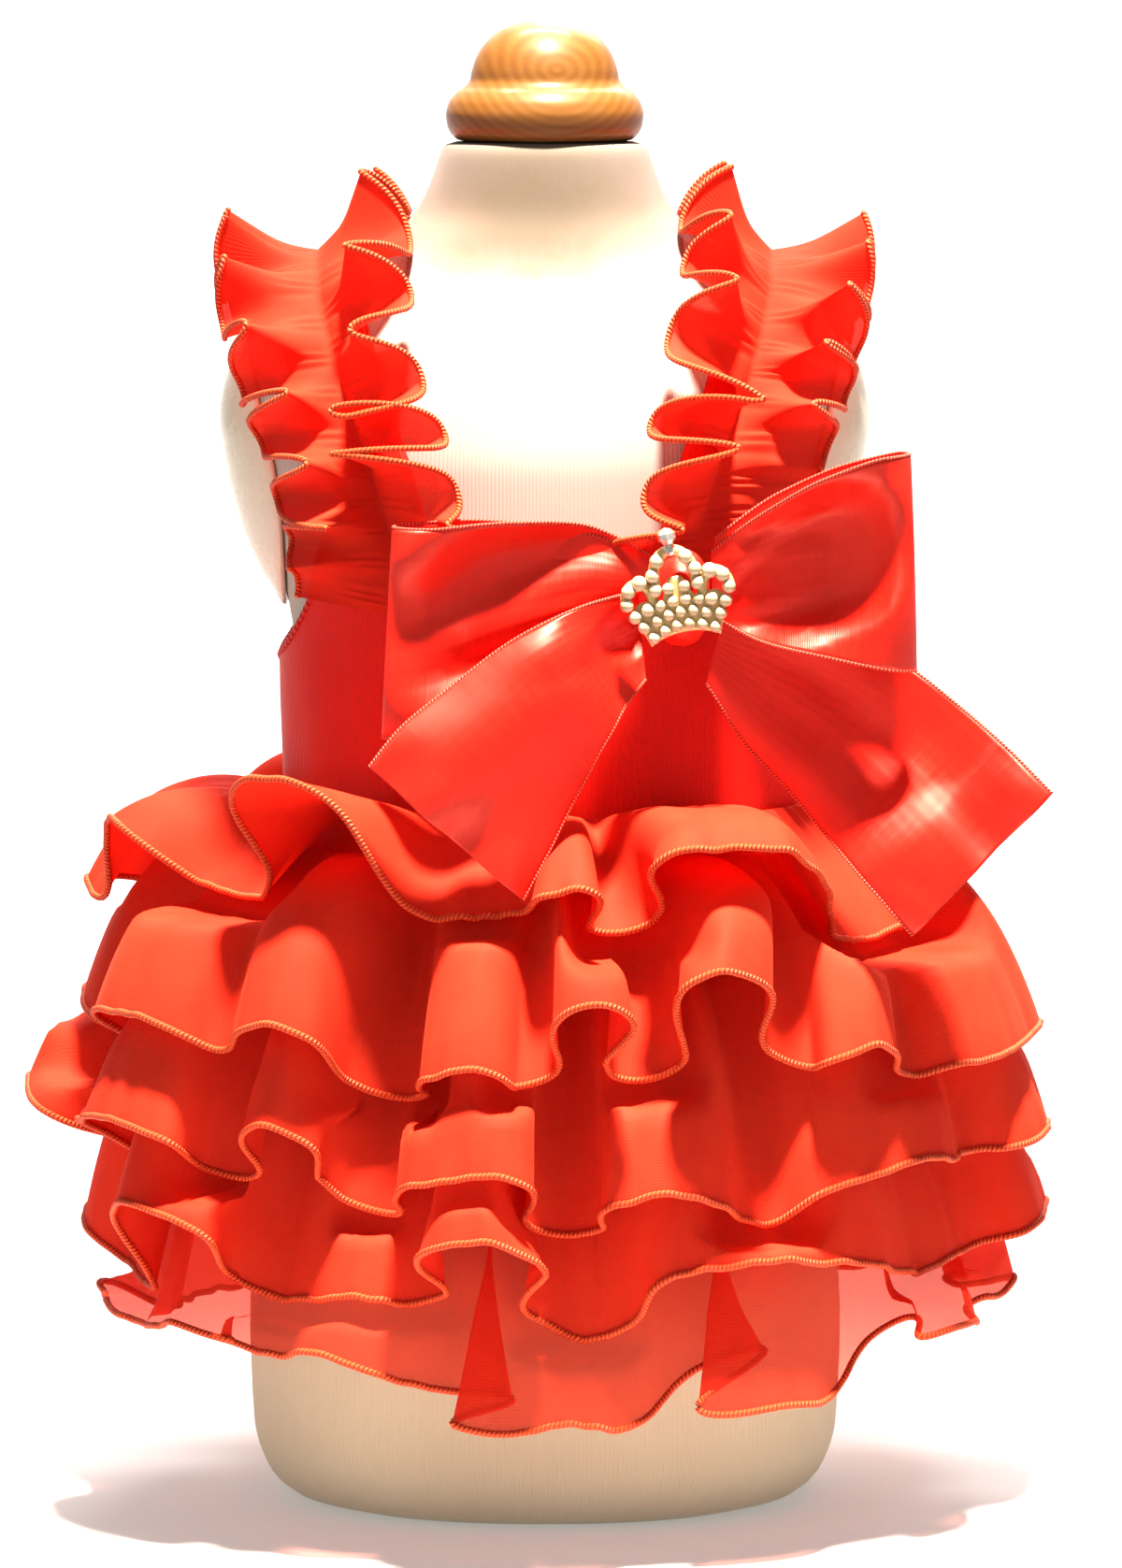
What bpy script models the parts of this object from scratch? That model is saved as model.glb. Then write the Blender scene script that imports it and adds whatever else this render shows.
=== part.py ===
"""A dog dress on a limbless dress form.

The frame: origin at the middle of the form's flat base, +X to the right as the front is seen,
-Y to the front, +Z up. Sizes are in millimetres and become metres as each mesh is made.
"""

import math

import bmesh
import bpy
import numpy as np

MM = 0.001
GAP = 0.3  # air between neighbouring pieces
CLOTH = 1.1  # wall of the gathered chiffon
KNIT = 1.4  # wall of the bodice and the straps
RIBBON = 1.0  # wall of the bow's satin ribbon

FORM_SQUARE = 2.3  # exponent of the form's rounded-oblong sections
FORM_COLUMNS = 32
BODICE_COLUMNS = 32
FRONT_COLUMNS, BACK_COLUMNS = 68, 20  # of a skirt tier; its front folds are the finer ones
TIER_ROWS = 5

WAIST_WIDTH, WAIST_DEPTH = 66.0, 52.0  # half sizes of the oblong that skirt reach is measured from
WAIST_HEIGHT = 178.0
YOKE_LOW = 102.0
ROOT_HEIGHTS = (176.0, 166.0, 149.0, 130.0, 110.0)  # the rows that the tiers are sewn in
LAYER_GAP = 5.0  # least gap between one tier and the next, across the slope
YOKE_GAP = 0.9  # air between a tier and the yoke
FOLD_MARGIN = 3.6  # degrees to each side over which a tier keeps under the one above
HEM_MARGIN = 3.0  # how far past the upper tier's hem a tier starts to rise again
LEAN_START, LEAN_REACH = 40.0, 45.0  # reach from which a fold leans, and where its lean is nothing

# The dress form's sections: height, half width, half depth.
FORM_SECTIONS = (
    (0, 57, 42),
    (2.5, 65, 49),
    (8, 70, 54),
    (18, 73, 57),
    (42, 74, 57.5),
    (95, 69.5, 54),
    (140, 64.5, 50.5),
    (178, 61.5, 47.5),
    (205, 61, 47),
    (222, 63, 48),
    (240, 68, 49),
    (258, 72, 49),
    (273, 74, 47.5),
    (285, 73, 44),
    (296, 68, 38),
    (305, 58, 33),
    (312, 45, 29.5),
    (320, 32.5, 26.5),
    (329, 28.5, 25),
    (337, 26.5, 24),
)

# The bodice's ease over the form: height, at the sides, at the front and back.
BODICE_EASE = (
    (88, 2.4, 2.4),
    (178, 3.2, 3.0),
    (205, 4.2, 3.2),
    (225, 3.0, 3.0),
    (262, 3.0, 3.0),
)

# The bodice's top edge: turn from the front or the back in degrees, height.
TOP_EDGE = ((0, 240), (26, 241), (34, 247), (52, 244), (62, 226), (76, 214), (90, 210))

# Each skirt fold: turns where its crest starts and ends at the hem, turn of the dip after it,
# height and reach of the hem at the crest, height and reach of the hem in the dip, and how far the
# fold leans round the skirt, in degrees for each mm of reach.
TIER_FOLDS = (
    (
        (-92, -70, -62, 168, 45, 160, 28, 0),
        (-43, -32, -20, 189, 47, 156, 30, 0.05),
        (1, 8, 11.5, 165, 44, 145, 24, 0),
        (15, 32, 54, 174, 49, 146, 26, -0.25),
        (78, 94, 106, 166, 42, 152, 26, 0),
    ),
    (
        (-112, -97, -88, 122, 52, 108, 24, 0),
        (-66, -33, -23, 131, 54, 110, 25, 0.1),
        (-14, -5, -0.5, 122, 49, 114, 35, 0),
        (4.5, 9, 14.5, 140, 59, 111, 31, 0),
        (18.5, 27, 34, 146, 59, 115, 34, -0.35),
        (39.5, 47, 54, 125, 54, 114, 42, -0.3),
        (68, 90, 100, 119, 56, 108, 28, 0),
    ),
    (
        (-106, -92, -82, 100, 64, 82, 25, 0),
        (-66, -52, -46.5, 104, 58, 88, 33, 0.1),
        (-39, -33, -28, 107, 52, 80, 24, 0),
        (-13, -3, 3, 98, 54, 76, 28, 0),
        (9.5, 22, 33, 92, 54, 81, 38, -0.25),
        (45, 60, 67, 95, 56, 93, 46, -0.15),
        (74, 88, 100, 95, 59, 82, 30, 0),
    ),
    (
        (-112, -98, -84, 66, 52, 57, 36, 0),
        (-60, -49, -44.5, 84, 56, 60, 31, 0.15),
        (-33, -26, -19, 65, 37, 62, 28, 0),
        (-12, -3.5, 1, 83, 57, 58, 31, -0.1),
        (5, 9, 13, 56, 34, 62, 40, -0.1),
        (17.5, 42, 60, 74, 54, 65, 42, -0.3),
        (80, 96, 108, 72, 58, 62, 30, 0),
    ),
    (
        (-92, -72, -66, 53, 46, 49, 40, 0),
        (-60, -49, -45, 54, 49, 51, 41, 0.1),
        (-40, -19, -15, 50, 48, 42, 39, 0.1),
        (-9, 7, 15, 37, 50, 49, 36, -0.4),
        (22.5, 32, 42, 39, 50, 50, 38, -0.5),
        (51, 61, 68, 47, 49, 51, 43, -0.4),
        (76, 86, 98, 55, 50, 49, 34, 0),
    ),
)
# The hidden folds round the back: how many, mean crest and its reach, mean dip and its reach.
BACK_FOLDS = (
    (4, 168, 45, 150, 24),
    (5, 127, 53, 110, 24),
    (5, 99, 57, 81, 25),
    (5, 76, 57, 60, 25),
    (4, 50, 50, 42, 27),
)
BACK_START, BACK_END = 114.0, 242.0
CREST_RISE = (12.0, 10.0, 8.0, 7.0, 5.0)  # how far a crest arches over the straight line
FOLD_SIDE = 5.0  # degrees over which a dip climbs to the next crest

# A shoulder strap's middle: degrees round the shoulder from level front, distance from the middle.
STRAP_PATH = (
    (-8, 37), (12, 42), (40, 50), (66, 55), (90, 56), (114, 55), (140, 51), (168, 45), (188, 41),
)
SHOULDER_HEIGHT = 250.0
STRAP_WIDTH = 20.0
STRAP_EASE, STRAP_END_EASE = 2.2, 5.0
RUFFLE_WIDTH = 49.0
RUFFLE_WAVES = 12
WAVE_COLUMNS = 6
RUFFLE_STAND, RUFFLE_SWING = 36.0, 22.0  # degrees that an edge stands off the shoulder, and swings
RUFFLE_LEAST, TOP_DROP = 3.0, 24.0  # degrees where it lies low, and less on top of the shoulder
TOP_CALM = 0.45  # share of the swing that is lost on top of the shoulder
RUFFLE_SLIDE = 0.5  # how far an edge's waves lean to and fro along the strap
# Degrees round the shoulder below which a half lies low under the bow, by side of the body.
OUTER_LAY, INNER_LAY, LAY_SPAN = {-1: -20.0, 1: 8.0}, {-1: -6.0, 1: -10.0}, 12.0

# The bow's ribbons from the knot out: across, height, depth in front of the axis, half width,
# turn of the width from upright in degrees, and how far the middle bulges to the front.
LOOP_LEFT = (
    (25.4, 233, 67, 7.5, 2, 1),
    (12, 233, 70, 14, 2, -1),
    (-8, 229, 76, 20, 2, -3),
    (-28, 224, 78, 24, 3, 2),
    (-37, 223, 73, 25, 3, 4),
    (-36, 223, 67, 25, 3, 2),
    (-20, 227, 65, 22, 3, 0),
    (4, 232, 64.5, 15, 2, 0),
    (16, 233, 63, 11, 2, 0),
    (25, 233, 62, 7.5, 2, 0),
)
LOOP_RIGHT = (
    (39.6, 234, 68, 7.5, 0, 1),
    (51, 236, 74, 15, 2, -2),
    (66, 239, 80, 21, 0, -4),
    (81, 240, 82, 25, -2, 2),
    (87, 240, 76, 25.5, -2, 4),
    (85, 240, 70, 25, -2, 2),
    (70, 238, 67.5, 20, 0, 0),
    (55, 236, 65, 14, 0, 0),
    (40, 234, 63.5, 7.5, 0, 0),
)
TAIL_LEFT = (
    (24, 227, 69, 8, -4, 1),
    (16, 221.5, 75, 11.5, -20, 2),
    (5, 211, 82, 16, -38, 4),
    (-8, 197, 87, 20, -47, 2),
    (-17, 186, 89, 23, -49, 0),
    (-23, 177, 90, 24, -49, 0),
)
TAIL_RIGHT = (
    (40.5, 218.5, 61.7, 9, 12, 0.5),
    (55, 210, 59, 16, 28, 2),
    (71, 200.5, 65, 20, 40, 2),
    (87, 186, 74, 22.5, 44, -3),
    (103.5, 169, 78, 23.5, 44, 1),
)
RIBBON_ROWS = 5
KNOT_MIDDLE, KNOT_HALF_WIDTH, KNOT_HALF_HEIGHT, KNOT_HALF_DEPTH = (32.5, -68, 231), 6.5, 11.5, 9.5

# Half of the crown's outline from the middle of its base up to its tip: across, up.
CROWN_OUTLINE = (
    (0, -8.6), (4.2, -9.4), (8.2, -11.2), (10.2, -5.0), (13.0, 0.2), (13.4, 4.6), (10.6, 7.6),
    (6.9, 7.0), (5.9, 10.2), (2.8, 12.6), (2.5, 15.4), (0, 16.9),
)
# The crown's openings: across, up, half width, half height.
CROWN_OPENINGS = ((-8.9, 3.2, 2.3, 2.1), (0, 6.6, 3.1, 2.5), (8.9, 3.2, 2.3, 2.1))
CROWN_MIDDLE, CROWN_TURN, CROWN_THICK = (31.5, -78.8, 232.5), 11.0, 1.8

KNOB_RING_RADIUS, KNOB_RING_HEIGHT, KNOB_DOME_RADIUS, KNOB_DOME_HEIGHT = 24.2, 13.6, 17.0, 15.2
KNOB_STEPS = 20
CAP_HALF_HEIGHT, CAP_HALF_DEPTH, CAP_MIDDLE, CAP_COLUMNS = 33.0, 25.0, 256.0, 18
CAP_SEAT, CAP_RIM, CAP_BULGE = 0.7, 1.9, 5.0


def start_scene():
    """Clears the scene and makes the collection that the parts go in."""
    for old in list(bpy.data.objects):
        bpy.data.objects.remove(old)
    parts = bpy.data.collections.new("dog_dress")
    bpy.context.scene.collection.children.link(parts)
    return parts


def material(name, colour, rough, metal=0.0, sheen=0.0):
    """A plain Principled material."""
    made = bpy.data.materials.new(name)
    made.use_nodes = True
    shader = made.node_tree.nodes["Principled BSDF"]
    shader.inputs["Base Color"].default_value = (*colour, 1.0)
    shader.inputs["Roughness"].default_value = rough
    shader.inputs["Metallic"].default_value = metal
    shader.inputs["Sheen Weight"].default_value = sheen
    return made


def add_mesh(parts, name, points, faces, look, smooth=True):
    """One named object from points in millimetres."""
    mesh = bpy.data.meshes.new(name)
    mesh.from_pydata((np.asarray(points, float).reshape(-1, 3) * MM).tolist(), [], faces)
    mesh.validate()
    mesh.materials.append(look)
    if smooth:
        mesh.shade_smooth()
    made = bpy.data.objects.new(name, mesh)
    parts.objects.link(made)
    return made


def grid_faces(rows, columns, round_closed, first=0):
    """Quads of a grid whose points run along each row, with the last column joined to the first."""
    spans = columns if round_closed else columns - 1
    faces = []
    for row in range(rows - 1):
        for column in range(spans):
            here = first + row * columns + column
            beside = first + row * columns + (column + 1) % columns
            faces.append((here, beside, beside + columns, here + columns))
    return faces


def thicken(sheet, wall, even=True):
    """Gives a sheet its wall, half to each side."""
    solid = sheet.modifiers.new("wall", "SOLIDIFY")
    solid.thickness = wall * MM
    solid.offset = 0.0
    solid.use_even_offset = even
    return sheet


def smooth_curve(knots, values, at):
    """Values of a smooth curve through the knots that never swings past them."""
    knots, values = np.asarray(knots, float), np.asarray(values, float)
    steps = np.diff(knots)
    rises = np.diff(values) / steps
    before, after = rises[:-1], rises[1:]
    turning = before * after <= 0
    total = np.where(turning, 1.0, before + after)
    inner = np.where(turning, 0.0, 2 * before * after / total)
    slopes = np.concatenate(([rises[0]], inner, [rises[-1]]))
    span = np.clip(np.searchsorted(knots, at, side="right") - 1, 0, len(knots) - 2)
    step = steps[span]
    t = np.clip((at - knots[span]) / step, 0, 1)
    start, end = values[span], values[span + 1]
    lift = t * t * (3 - 2 * t)
    return (
        start + (end - start) * lift
        + step * slopes[span] * t * (1 - t) ** 2
        - step * slopes[span + 1] * t * t * (1 - t)
    )


def round_curve(turns, values, at):
    """The same for a curve that closes after a full turn."""
    turns = (np.asarray(turns, float) + 180) % 360 - 180
    order = np.argsort(turns)
    wide = np.concatenate((turns[order] - 360, turns[order], turns[order] + 360))
    return smooth_curve(wide, np.tile(np.asarray(values, float)[order], 3), at)


def table_curve(table, column, at):
    """A table's column as a smooth curve over its first column."""
    rows = np.asarray(table, float)
    return smooth_curve(rows[:, 0], rows[:, column], at)


def oblong(turn, half_width, half_depth):
    """Radius of a rounded oblong at a turn from the front."""
    across = np.abs(np.sin(turn)) / half_width
    deep = np.abs(np.cos(turn)) / half_depth
    return (across**FORM_SQUARE + deep**FORM_SQUARE) ** (-1 / FORM_SQUARE)


def place(turn, radius, height):
    """Points at a turn from the front, a radius and a height."""
    turn, radius, height = np.broadcast_arrays(turn, radius, height)
    return np.stack((np.sin(turn) * radius, -np.cos(turn) * radius, height), axis=-1)


def form_radius(turn, height):
    """Radius of the dress form."""
    return oblong(turn, table_curve(FORM_SECTIONS, 1, height), table_curve(FORM_SECTIONS, 2, height))


def bodice_radius(turn, height):
    """Radius of the bodice's middle layer: the form's, and the ease of the cloth."""
    side = table_curve(BODICE_EASE, 1, height)
    front = table_curve(BODICE_EASE, 2, height)
    return form_radius(turn, height) + front + (side - front) * np.sin(turn) ** 2


def even_turns(columns):
    """Turns of evenly spaced columns, from the back round the left."""
    return np.linspace(-math.pi, math.pi, columns, endpoint=False)


def build_form(parts, look):
    """The body of the dress form, from its flat base to the top of its neck."""
    heights = np.array([row[0] for row in FORM_SECTIONS], float)
    between = (heights[1:] + heights[:-1]) / 2
    heights = np.sort(np.concatenate((heights, between[between > SHOULDER_HEIGHT])))
    turns = even_turns(FORM_COLUMNS)
    points = place(turns[None, :], form_radius(turns[None, :], heights[:, None]), heights[:, None])
    faces = grid_faces(len(heights), FORM_COLUMNS, True)
    last = (len(heights) - 1) * FORM_COLUMNS
    faces.append(tuple(range(FORM_COLUMNS - 1, -1, -1)))
    faces.append(tuple(range(last, last + FORM_COLUMNS)))
    add_mesh(parts, "dress_form", points, faces, look)


def build_arm_caps(parts, look):
    """The domed plates that close the arm ends, laid on the form's sides."""
    inside = np.array([0.25, 0.5, 0.75, 1.0])
    share = np.concatenate((inside, inside[::-1]))[:, None]
    out = np.where(np.arange(8) < 4, CAP_SEAT, CAP_RIM + CAP_BULGE * (1 - share[:, 0] ** 3))[:, None]
    angle = np.linspace(0, 2 * math.pi, CAP_COLUMNS, endpoint=False)[None, :]
    depth = CAP_HALF_DEPTH * share * np.cos(angle)
    height = CAP_MIDDLE + CAP_HALF_HEIGHT * share * np.sin(angle)
    middle = np.array([CAP_SEAT, CAP_RIM + CAP_BULGE])
    for name, side in (("arm_cap_left", -1), ("arm_cap_right", 1)):
        rings = arm_point(side, depth, height, out)
        ends = arm_point(side, 0 * middle, 0 * middle + CAP_MIDDLE, middle)
        faces = grid_faces(len(share), CAP_COLUMNS, True)
        first, last = rings[..., 0].size, (len(share) - 1) * CAP_COLUMNS
        for column in range(CAP_COLUMNS):
            beside = (column + 1) % CAP_COLUMNS
            faces.append((beside, column, first))
            faces.append((last + column, last + beside, first + 1))
        if side < 0:
            faces = [face[::-1] for face in faces]
        add_mesh(parts, name, np.concatenate((rings.reshape(-1, 3), ends)), faces, look)


def arm_point(side, depth, height, out):
    """A point on the form's side at a depth and height, moved straight out."""
    half_width = table_curve(FORM_SECTIONS, 1, height)
    half_depth = table_curve(FORM_SECTIONS, 2, height)
    share = 1 - (np.abs(depth) / half_depth) ** FORM_SQUARE
    across = half_width * share ** (1 / FORM_SQUARE) + out
    return np.stack((side * across, depth, height), axis=-1)


def build_knob(parts, look):
    """The turned wooden ring and dome on the neck."""
    base = FORM_SECTIONS[-1][0] + GAP
    ring = [
        (KNOB_RING_RADIUS - 4.2, 0.0),
        (KNOB_RING_RADIUS - 1.5, 1.2),
        (KNOB_RING_RADIUS - 0.2, 4.0),
        (KNOB_RING_RADIUS, 6.8),
        (KNOB_RING_RADIUS - 0.8, 9.8),
        (KNOB_RING_RADIUS - 3.0, 12.4),
        (KNOB_DOME_RADIUS + 1.6, KNOB_RING_HEIGHT),
    ]
    dome_angles = np.linspace(math.radians(4), math.pi / 2, 8)
    dome_base = KNOB_RING_HEIGHT + 0.4
    dome = [
        (KNOB_DOME_RADIUS * math.cos(angle), dome_base + KNOB_DOME_HEIGHT * math.sin(angle))
        for angle in dome_angles
    ]
    profile = [(0.0, 0.0)] + ring + dome
    profile[-1] = (0.0, profile[-1][1])
    points = [(radius, 0.0, base + height) for radius, height in reversed(profile)]
    edges = [(index, index + 1) for index in range(len(points) - 1)]
    mesh = bpy.data.meshes.new("form_knob")
    mesh.from_pydata((np.array(points) * MM).tolist(), edges, [])
    mesh.materials.append(look)
    knob = bpy.data.objects.new("form_knob", mesh)
    parts.objects.link(knob)
    screw = knob.modifiers.new("turned", "SCREW")
    screw.steps = screw.render_steps = KNOB_STEPS
    screw.use_merge_vertices = True
    screw.merge_threshold = 0.00001
    screw.use_smooth_shade = True


def build_bodice(parts, look):
    """The bodice and the hip yoke under the skirt, one tube open at the neck and the hem."""
    turns = even_turns(BODICE_COLUMNS)
    from_end = np.degrees(np.minimum(np.abs(turns), math.pi - np.abs(turns)))
    top = table_curve(TOP_EDGE, 1, from_end)
    low = np.array([YOKE_LOW, 125.0, 160.0, 190.0])
    upper = np.linspace(0, 1, 4)[1:, None]
    heights = np.concatenate((np.repeat(low[:, None], BODICE_COLUMNS, 1), low[-1] + upper * (top - low[-1])))
    points = place(turns[None, :], bodice_radius(turns[None, :], heights), heights)
    sheet = add_mesh(parts, "bodice", points, grid_faces(len(heights), BODICE_COLUMNS, True), look)
    thicken(sheet, KNIT)


def fold_table(tier):
    """A tier's folds as columns, with its crests' turns led back upright from their lean."""
    folds = np.array(TIER_FOLDS[tier] + tuple(back_folds(tier))).T
    left, right, dip_turn, crest, out, dip, inward, lean = folds
    shift = lean * (out - LEAN_REACH)
    return left - shift, right - shift, dip_turn, crest, out, dip, inward, lean


def back_folds(tier):
    """The even folds round the hidden back of a tier, each a little unlike the last."""
    count, crest, out, dip, inward = BACK_FOLDS[tier]
    pitch = (BACK_END - BACK_START) / count
    for index in range(count):
        wander = math.sin(2.4 * index + 1.3 * tier)
        left = BACK_START + (index + 0.12 * wander) * pitch
        right = left + (0.42 + 0.06 * wander) * pitch
        yield (
            left, right, right + 0.26 * pitch, crest + 3 * wander, out + 2 * wander,
            dip - 2 * wander, inward - 2 * wander, 0,
        )


def lean_shift(tier, turns, reach):
    """Degrees that a point at this reach is moved round the skirt by the lean of its fold."""
    start, end, *_, lean = fold_table(tier)
    lean = round_curve(np.stack((start, end), 1).ravel(), np.repeat(lean, 2), turns)
    return lean * (np.maximum(reach, LEAN_START) - LEAN_REACH)


def hem(tier, turns):
    """Height and reach of a tier's hem at upright turns, before its folds lean."""
    start, end, dip_turn, crest, out, dip, inward, _ = fold_table(tier)
    foot = np.roll(start, -1) % 360 - FOLD_SIDE
    foot = np.where((foot - dip_turn) % 360 > 2 * FOLD_SIDE, foot, dip_turn + 0.01)
    seats = np.stack((start, (start + end) / 2, end, dip_turn, foot), 1)
    heights = np.stack((crest - 1, crest + 1, crest - 1, dip, dip + 1), 1)
    reaches = np.stack((out, out + 1, out, inward, inward + 1), 1)
    seats = seats.ravel()
    return round_curve(seats, heights.ravel(), turns), round_curve(seats, reaches.ravel(), turns)


def yoke_reach(height):
    """Reach of the yoke's outer face past the waist oblong, taken at its widest."""
    wider = table_curve(FORM_SECTIONS, 1, height) + table_curve(BODICE_EASE, 1, height) - WAIST_WIDTH
    deeper = table_curve(FORM_SECTIONS, 2, height) + table_curve(BODICE_EASE, 2, height) - WAIST_DEPTH
    return np.maximum(wider, deeper) + KNIT / 2


def least_reach(tier, height):
    """How close to the yoke a tier may lie: one layer out for each tier rooted above that height."""
    roots = np.array(ROOT_HEIGHTS[tier:])
    layers = np.interp(-height, -roots, np.arange(len(roots)))
    return yoke_reach(height) + YOKE_GAP + CLOTH / 2 + LAYER_GAP * layers


def slope_frame(reach, height):
    """Distance along and above a line that falls outwards at 45 degrees from the waist."""
    drop = WAIST_HEIGHT - height
    return (reach + drop) / math.sqrt(2), (reach - drop) / math.sqrt(2)


def from_slope(along, above):
    """Reach and height from distances along and above the slope."""
    return (along + above) / math.sqrt(2), WAIST_HEIGHT - (along - above) / math.sqrt(2)


def tier_ends(tier, turns):
    """Along and above of a tier's root, middle control point and hem at each turn."""
    hem_height, hem_reach = hem(tier, turns)
    top = ROOT_HEIGHTS[tier]
    start = least_reach(tier, np.array(top))
    crest = np.clip((hem_reach - 26) / 24, 0, 1)
    arch = top + CREST_RISE[tier] * crest - 0.3 * (1 - crest) * (top - hem_height)
    root = slope_frame(start + 0 * hem_reach, top)
    middle = slope_frame(start + (0.4 + 0.28 * crest) * (hem_reach - start), arch)
    return root, middle, slope_frame(hem_reach, hem_height)


def arc_above(ends, along):
    """Height above the slope of the arc from root to hem that its middle point draws out."""
    root, middle, end = ends
    bend = root[0] - 2 * middle[0] + end[0]
    rise = 2 * (middle[0] - root[0])
    ahead = np.maximum(along - root[0], 0)
    share = 2 * ahead / (rise + np.sqrt(np.maximum(rise**2 + 4 * bend * ahead, 1e-6)))
    return (1 - share) ** 2 * root[1] + 2 * share * (1 - share) * middle[1] + share**2 * end[1]


def below_upper(upper, along):
    """The height above the slope left free by the tier over this one; past its hem it rises again."""
    upper_along, upper_above = upper
    free = upper_above[0] - LAYER_GAP
    for row in range(len(upper_along) - 1):
        step = upper_along[row + 1] - upper_along[row]
        passed = np.clip((along - upper_along[row]) / step, 0, 1)
        free = free + passed * (upper_above[row + 1] - upper_above[row])
    return free + np.maximum(along - upper_along[-1] - HEM_MARGIN, 0)


def at_turns(upper, wanted):
    """A tier's rows along and above the slope, read at the turns where they are seen."""
    along, above, seen = upper
    wide = np.maximum.accumulate(np.concatenate((seen - 360, seen, seen + 360), axis=1), axis=1)
    return [
        np.array([np.interp(wanted, at, np.tile(row, 3)) for at, row in zip(wide, rows)])
        for rows in (along, above)
    ]


def kept_under(upper, seen, along):
    """The height above the slope that the tier over this one leaves free, and that on both sides."""
    sides = np.linspace(-FOLD_MARGIN, FOLD_MARGIN, 5)
    return np.array([
        np.min([below_upper(at_turns(upper, wanted + side), row) for side in sides], axis=0)
        for wanted, row in zip(seen, along)
    ])


def soft_least(one, other, blend=0.8):
    """The lesser of two values, rounded where they meet."""
    gap = np.abs(one - other) / blend
    return np.minimum(one, other) - blend * np.log1p(np.exp(-gap))


def tier_rows(ends, hems, shares):
    """Distances along the slope from root to hem, with rows kept under the hems of the tiers above."""
    first, last = ends[0][0], ends[2][0]
    span = last - first
    fourth, third, second = (
        np.clip(hem, first + low * span, last - high * span)
        for hem, low, high in zip(hems, (0.64, 0.38, 0.12), (0.14, 0.4, 0.66))
    )
    stops = (first, second, third, fourth, last)
    steps = np.clip(shares[:, None] * 4 - np.arange(4), 0, 1)
    return first + sum(steps[:, [i]] * (stops[i + 1] - stops[i]) for i in range(4))


def lay_tier(tier, turns, shares, uppers):
    """A tier's rows along and above the slope, kept under the tier above, and their leaned turns."""
    ends = tier_ends(tier, turns)
    seen = turns + lean_shift(tier, turns, from_slope(*ends[2])[0])
    even = [ends[0][0] + share * (ends[2][0] - ends[0][0]) for share in (0.75, 0.5, 0.25)]
    hems = [at_turns(upper, seen)[0][-1] + HEM_MARGIN / 3 for upper in reversed(uppers[-3:])]
    along = tier_rows(ends, hems + even[len(hems):], shares)
    above = arc_above(ends, along)
    seen = turns + lean_shift(tier, turns, from_slope(along, above)[0])
    if uppers:
        above = soft_least(above, kept_under(uppers[-1], seen, along))
    floor = least_reach(tier, WAIST_HEIGHT - math.sqrt(2) * along)
    floor = least_reach(tier, WAIST_HEIGHT - math.sqrt(2) * along + floor)
    return along, np.maximum(above, math.sqrt(2) * floor - along), seen


def skirt_sheets(turns, shares):
    """Points of each tier's middle layer, a row for each share of the way from root to hem."""
    laid = []
    for tier in range(len(TIER_FOLDS)):
        laid.append(lay_tier(tier, turns, shares, laid))
        along, above, seen = laid[-1]
        reach, height = from_slope(along, above)
        leaned = np.radians(seen)
        yield place(leaned, oblong(leaned, WAIST_WIDTH, WAIST_DEPTH) + reach, height)


def skirt_turns():
    """Turns of the skirt's columns in degrees, closer together across the front."""
    front = np.linspace(-100, 100, FRONT_COLUMNS, endpoint=False)
    back = np.linspace(100, 260, BACK_COLUMNS, endpoint=False)
    return np.concatenate((front, back))


def build_skirt(parts, look):
    """The five chiffon tiers."""
    turns = skirt_turns()
    faces = [face[::-1] for face in grid_faces(TIER_ROWS, len(turns), True)]
    for tier, points in enumerate(skirt_sheets(turns, np.linspace(0, 1, TIER_ROWS)), start=1):
        sheet = add_mesh(parts, f"skirt_tier_{tier}", points, faces, look)
        thicken(sheet, CLOTH, even=False)


def over_shoulder(side, angle, across, ease):
    """Points on the form, met by rays that fan round the shoulder line, moved out by the ease."""
    near, far = 0 * (angle + across), 0 * (angle + across) + 120.0
    for _ in range(34):
        middle = (near + far) / 2
        height = SHOULDER_HEIGHT + middle * np.sin(angle)
        width = table_curve(FORM_SECTIONS, 1, height)
        depth = table_curve(FORM_SECTIONS, 2, height)
        fill = (across / width) ** FORM_SQUARE + (np.abs(middle * np.cos(angle)) / depth) ** FORM_SQUARE
        inside = (fill < 1) & (height < FORM_SECTIONS[-1][0])
        near, far = np.where(inside, middle, near), np.where(inside, far, middle)
    radius = near + ease
    return np.stack(
        (side * across, -radius * np.cos(angle), SHOULDER_HEIGHT + radius * np.sin(angle)), axis=-1
    )


def strap_line(share):
    """Degrees round the shoulder and distance from the middle, at shares of the strap's length."""
    first, last = STRAP_PATH[0][0], STRAP_PATH[-1][0]
    degrees = first + (last - first) * share
    return degrees, table_curve(STRAP_PATH, 1, degrees)


def strap_ease(degrees):
    """How far the strap's middle layer lies off the form: over the bodice at its ends, then closer."""
    from_end = np.minimum(degrees, 180 - degrees)
    return STRAP_EASE + (STRAP_END_EASE - STRAP_EASE) * smooth_step((26 - from_end) / 20)


def smooth_step(share):
    """0 to 1 with level ends."""
    share = np.clip(share, 0, 1)
    return share * share * (3 - 2 * share)


def build_straps(parts, look):
    """The plain bands that carry the ruffles over the shoulders."""
    share = np.linspace(0, 1, 17)[None, :]
    width = np.linspace(-0.5, 0.5, 4)[:, None] * STRAP_WIDTH
    degrees, across = strap_line(share)
    angle, ease = np.radians(degrees) + 0 * width, strap_ease(degrees)
    for name, side in (("strap_left", -1), ("strap_right", 1)):
        points = over_shoulder(side, angle, across + width, ease)
        faces = grid_faces(4, share.size, False)
        if side > 0:
            faces = [face[::-1] for face in faces]
        thicken(add_mesh(parts, name, points, faces, look), KNIT)


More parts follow.
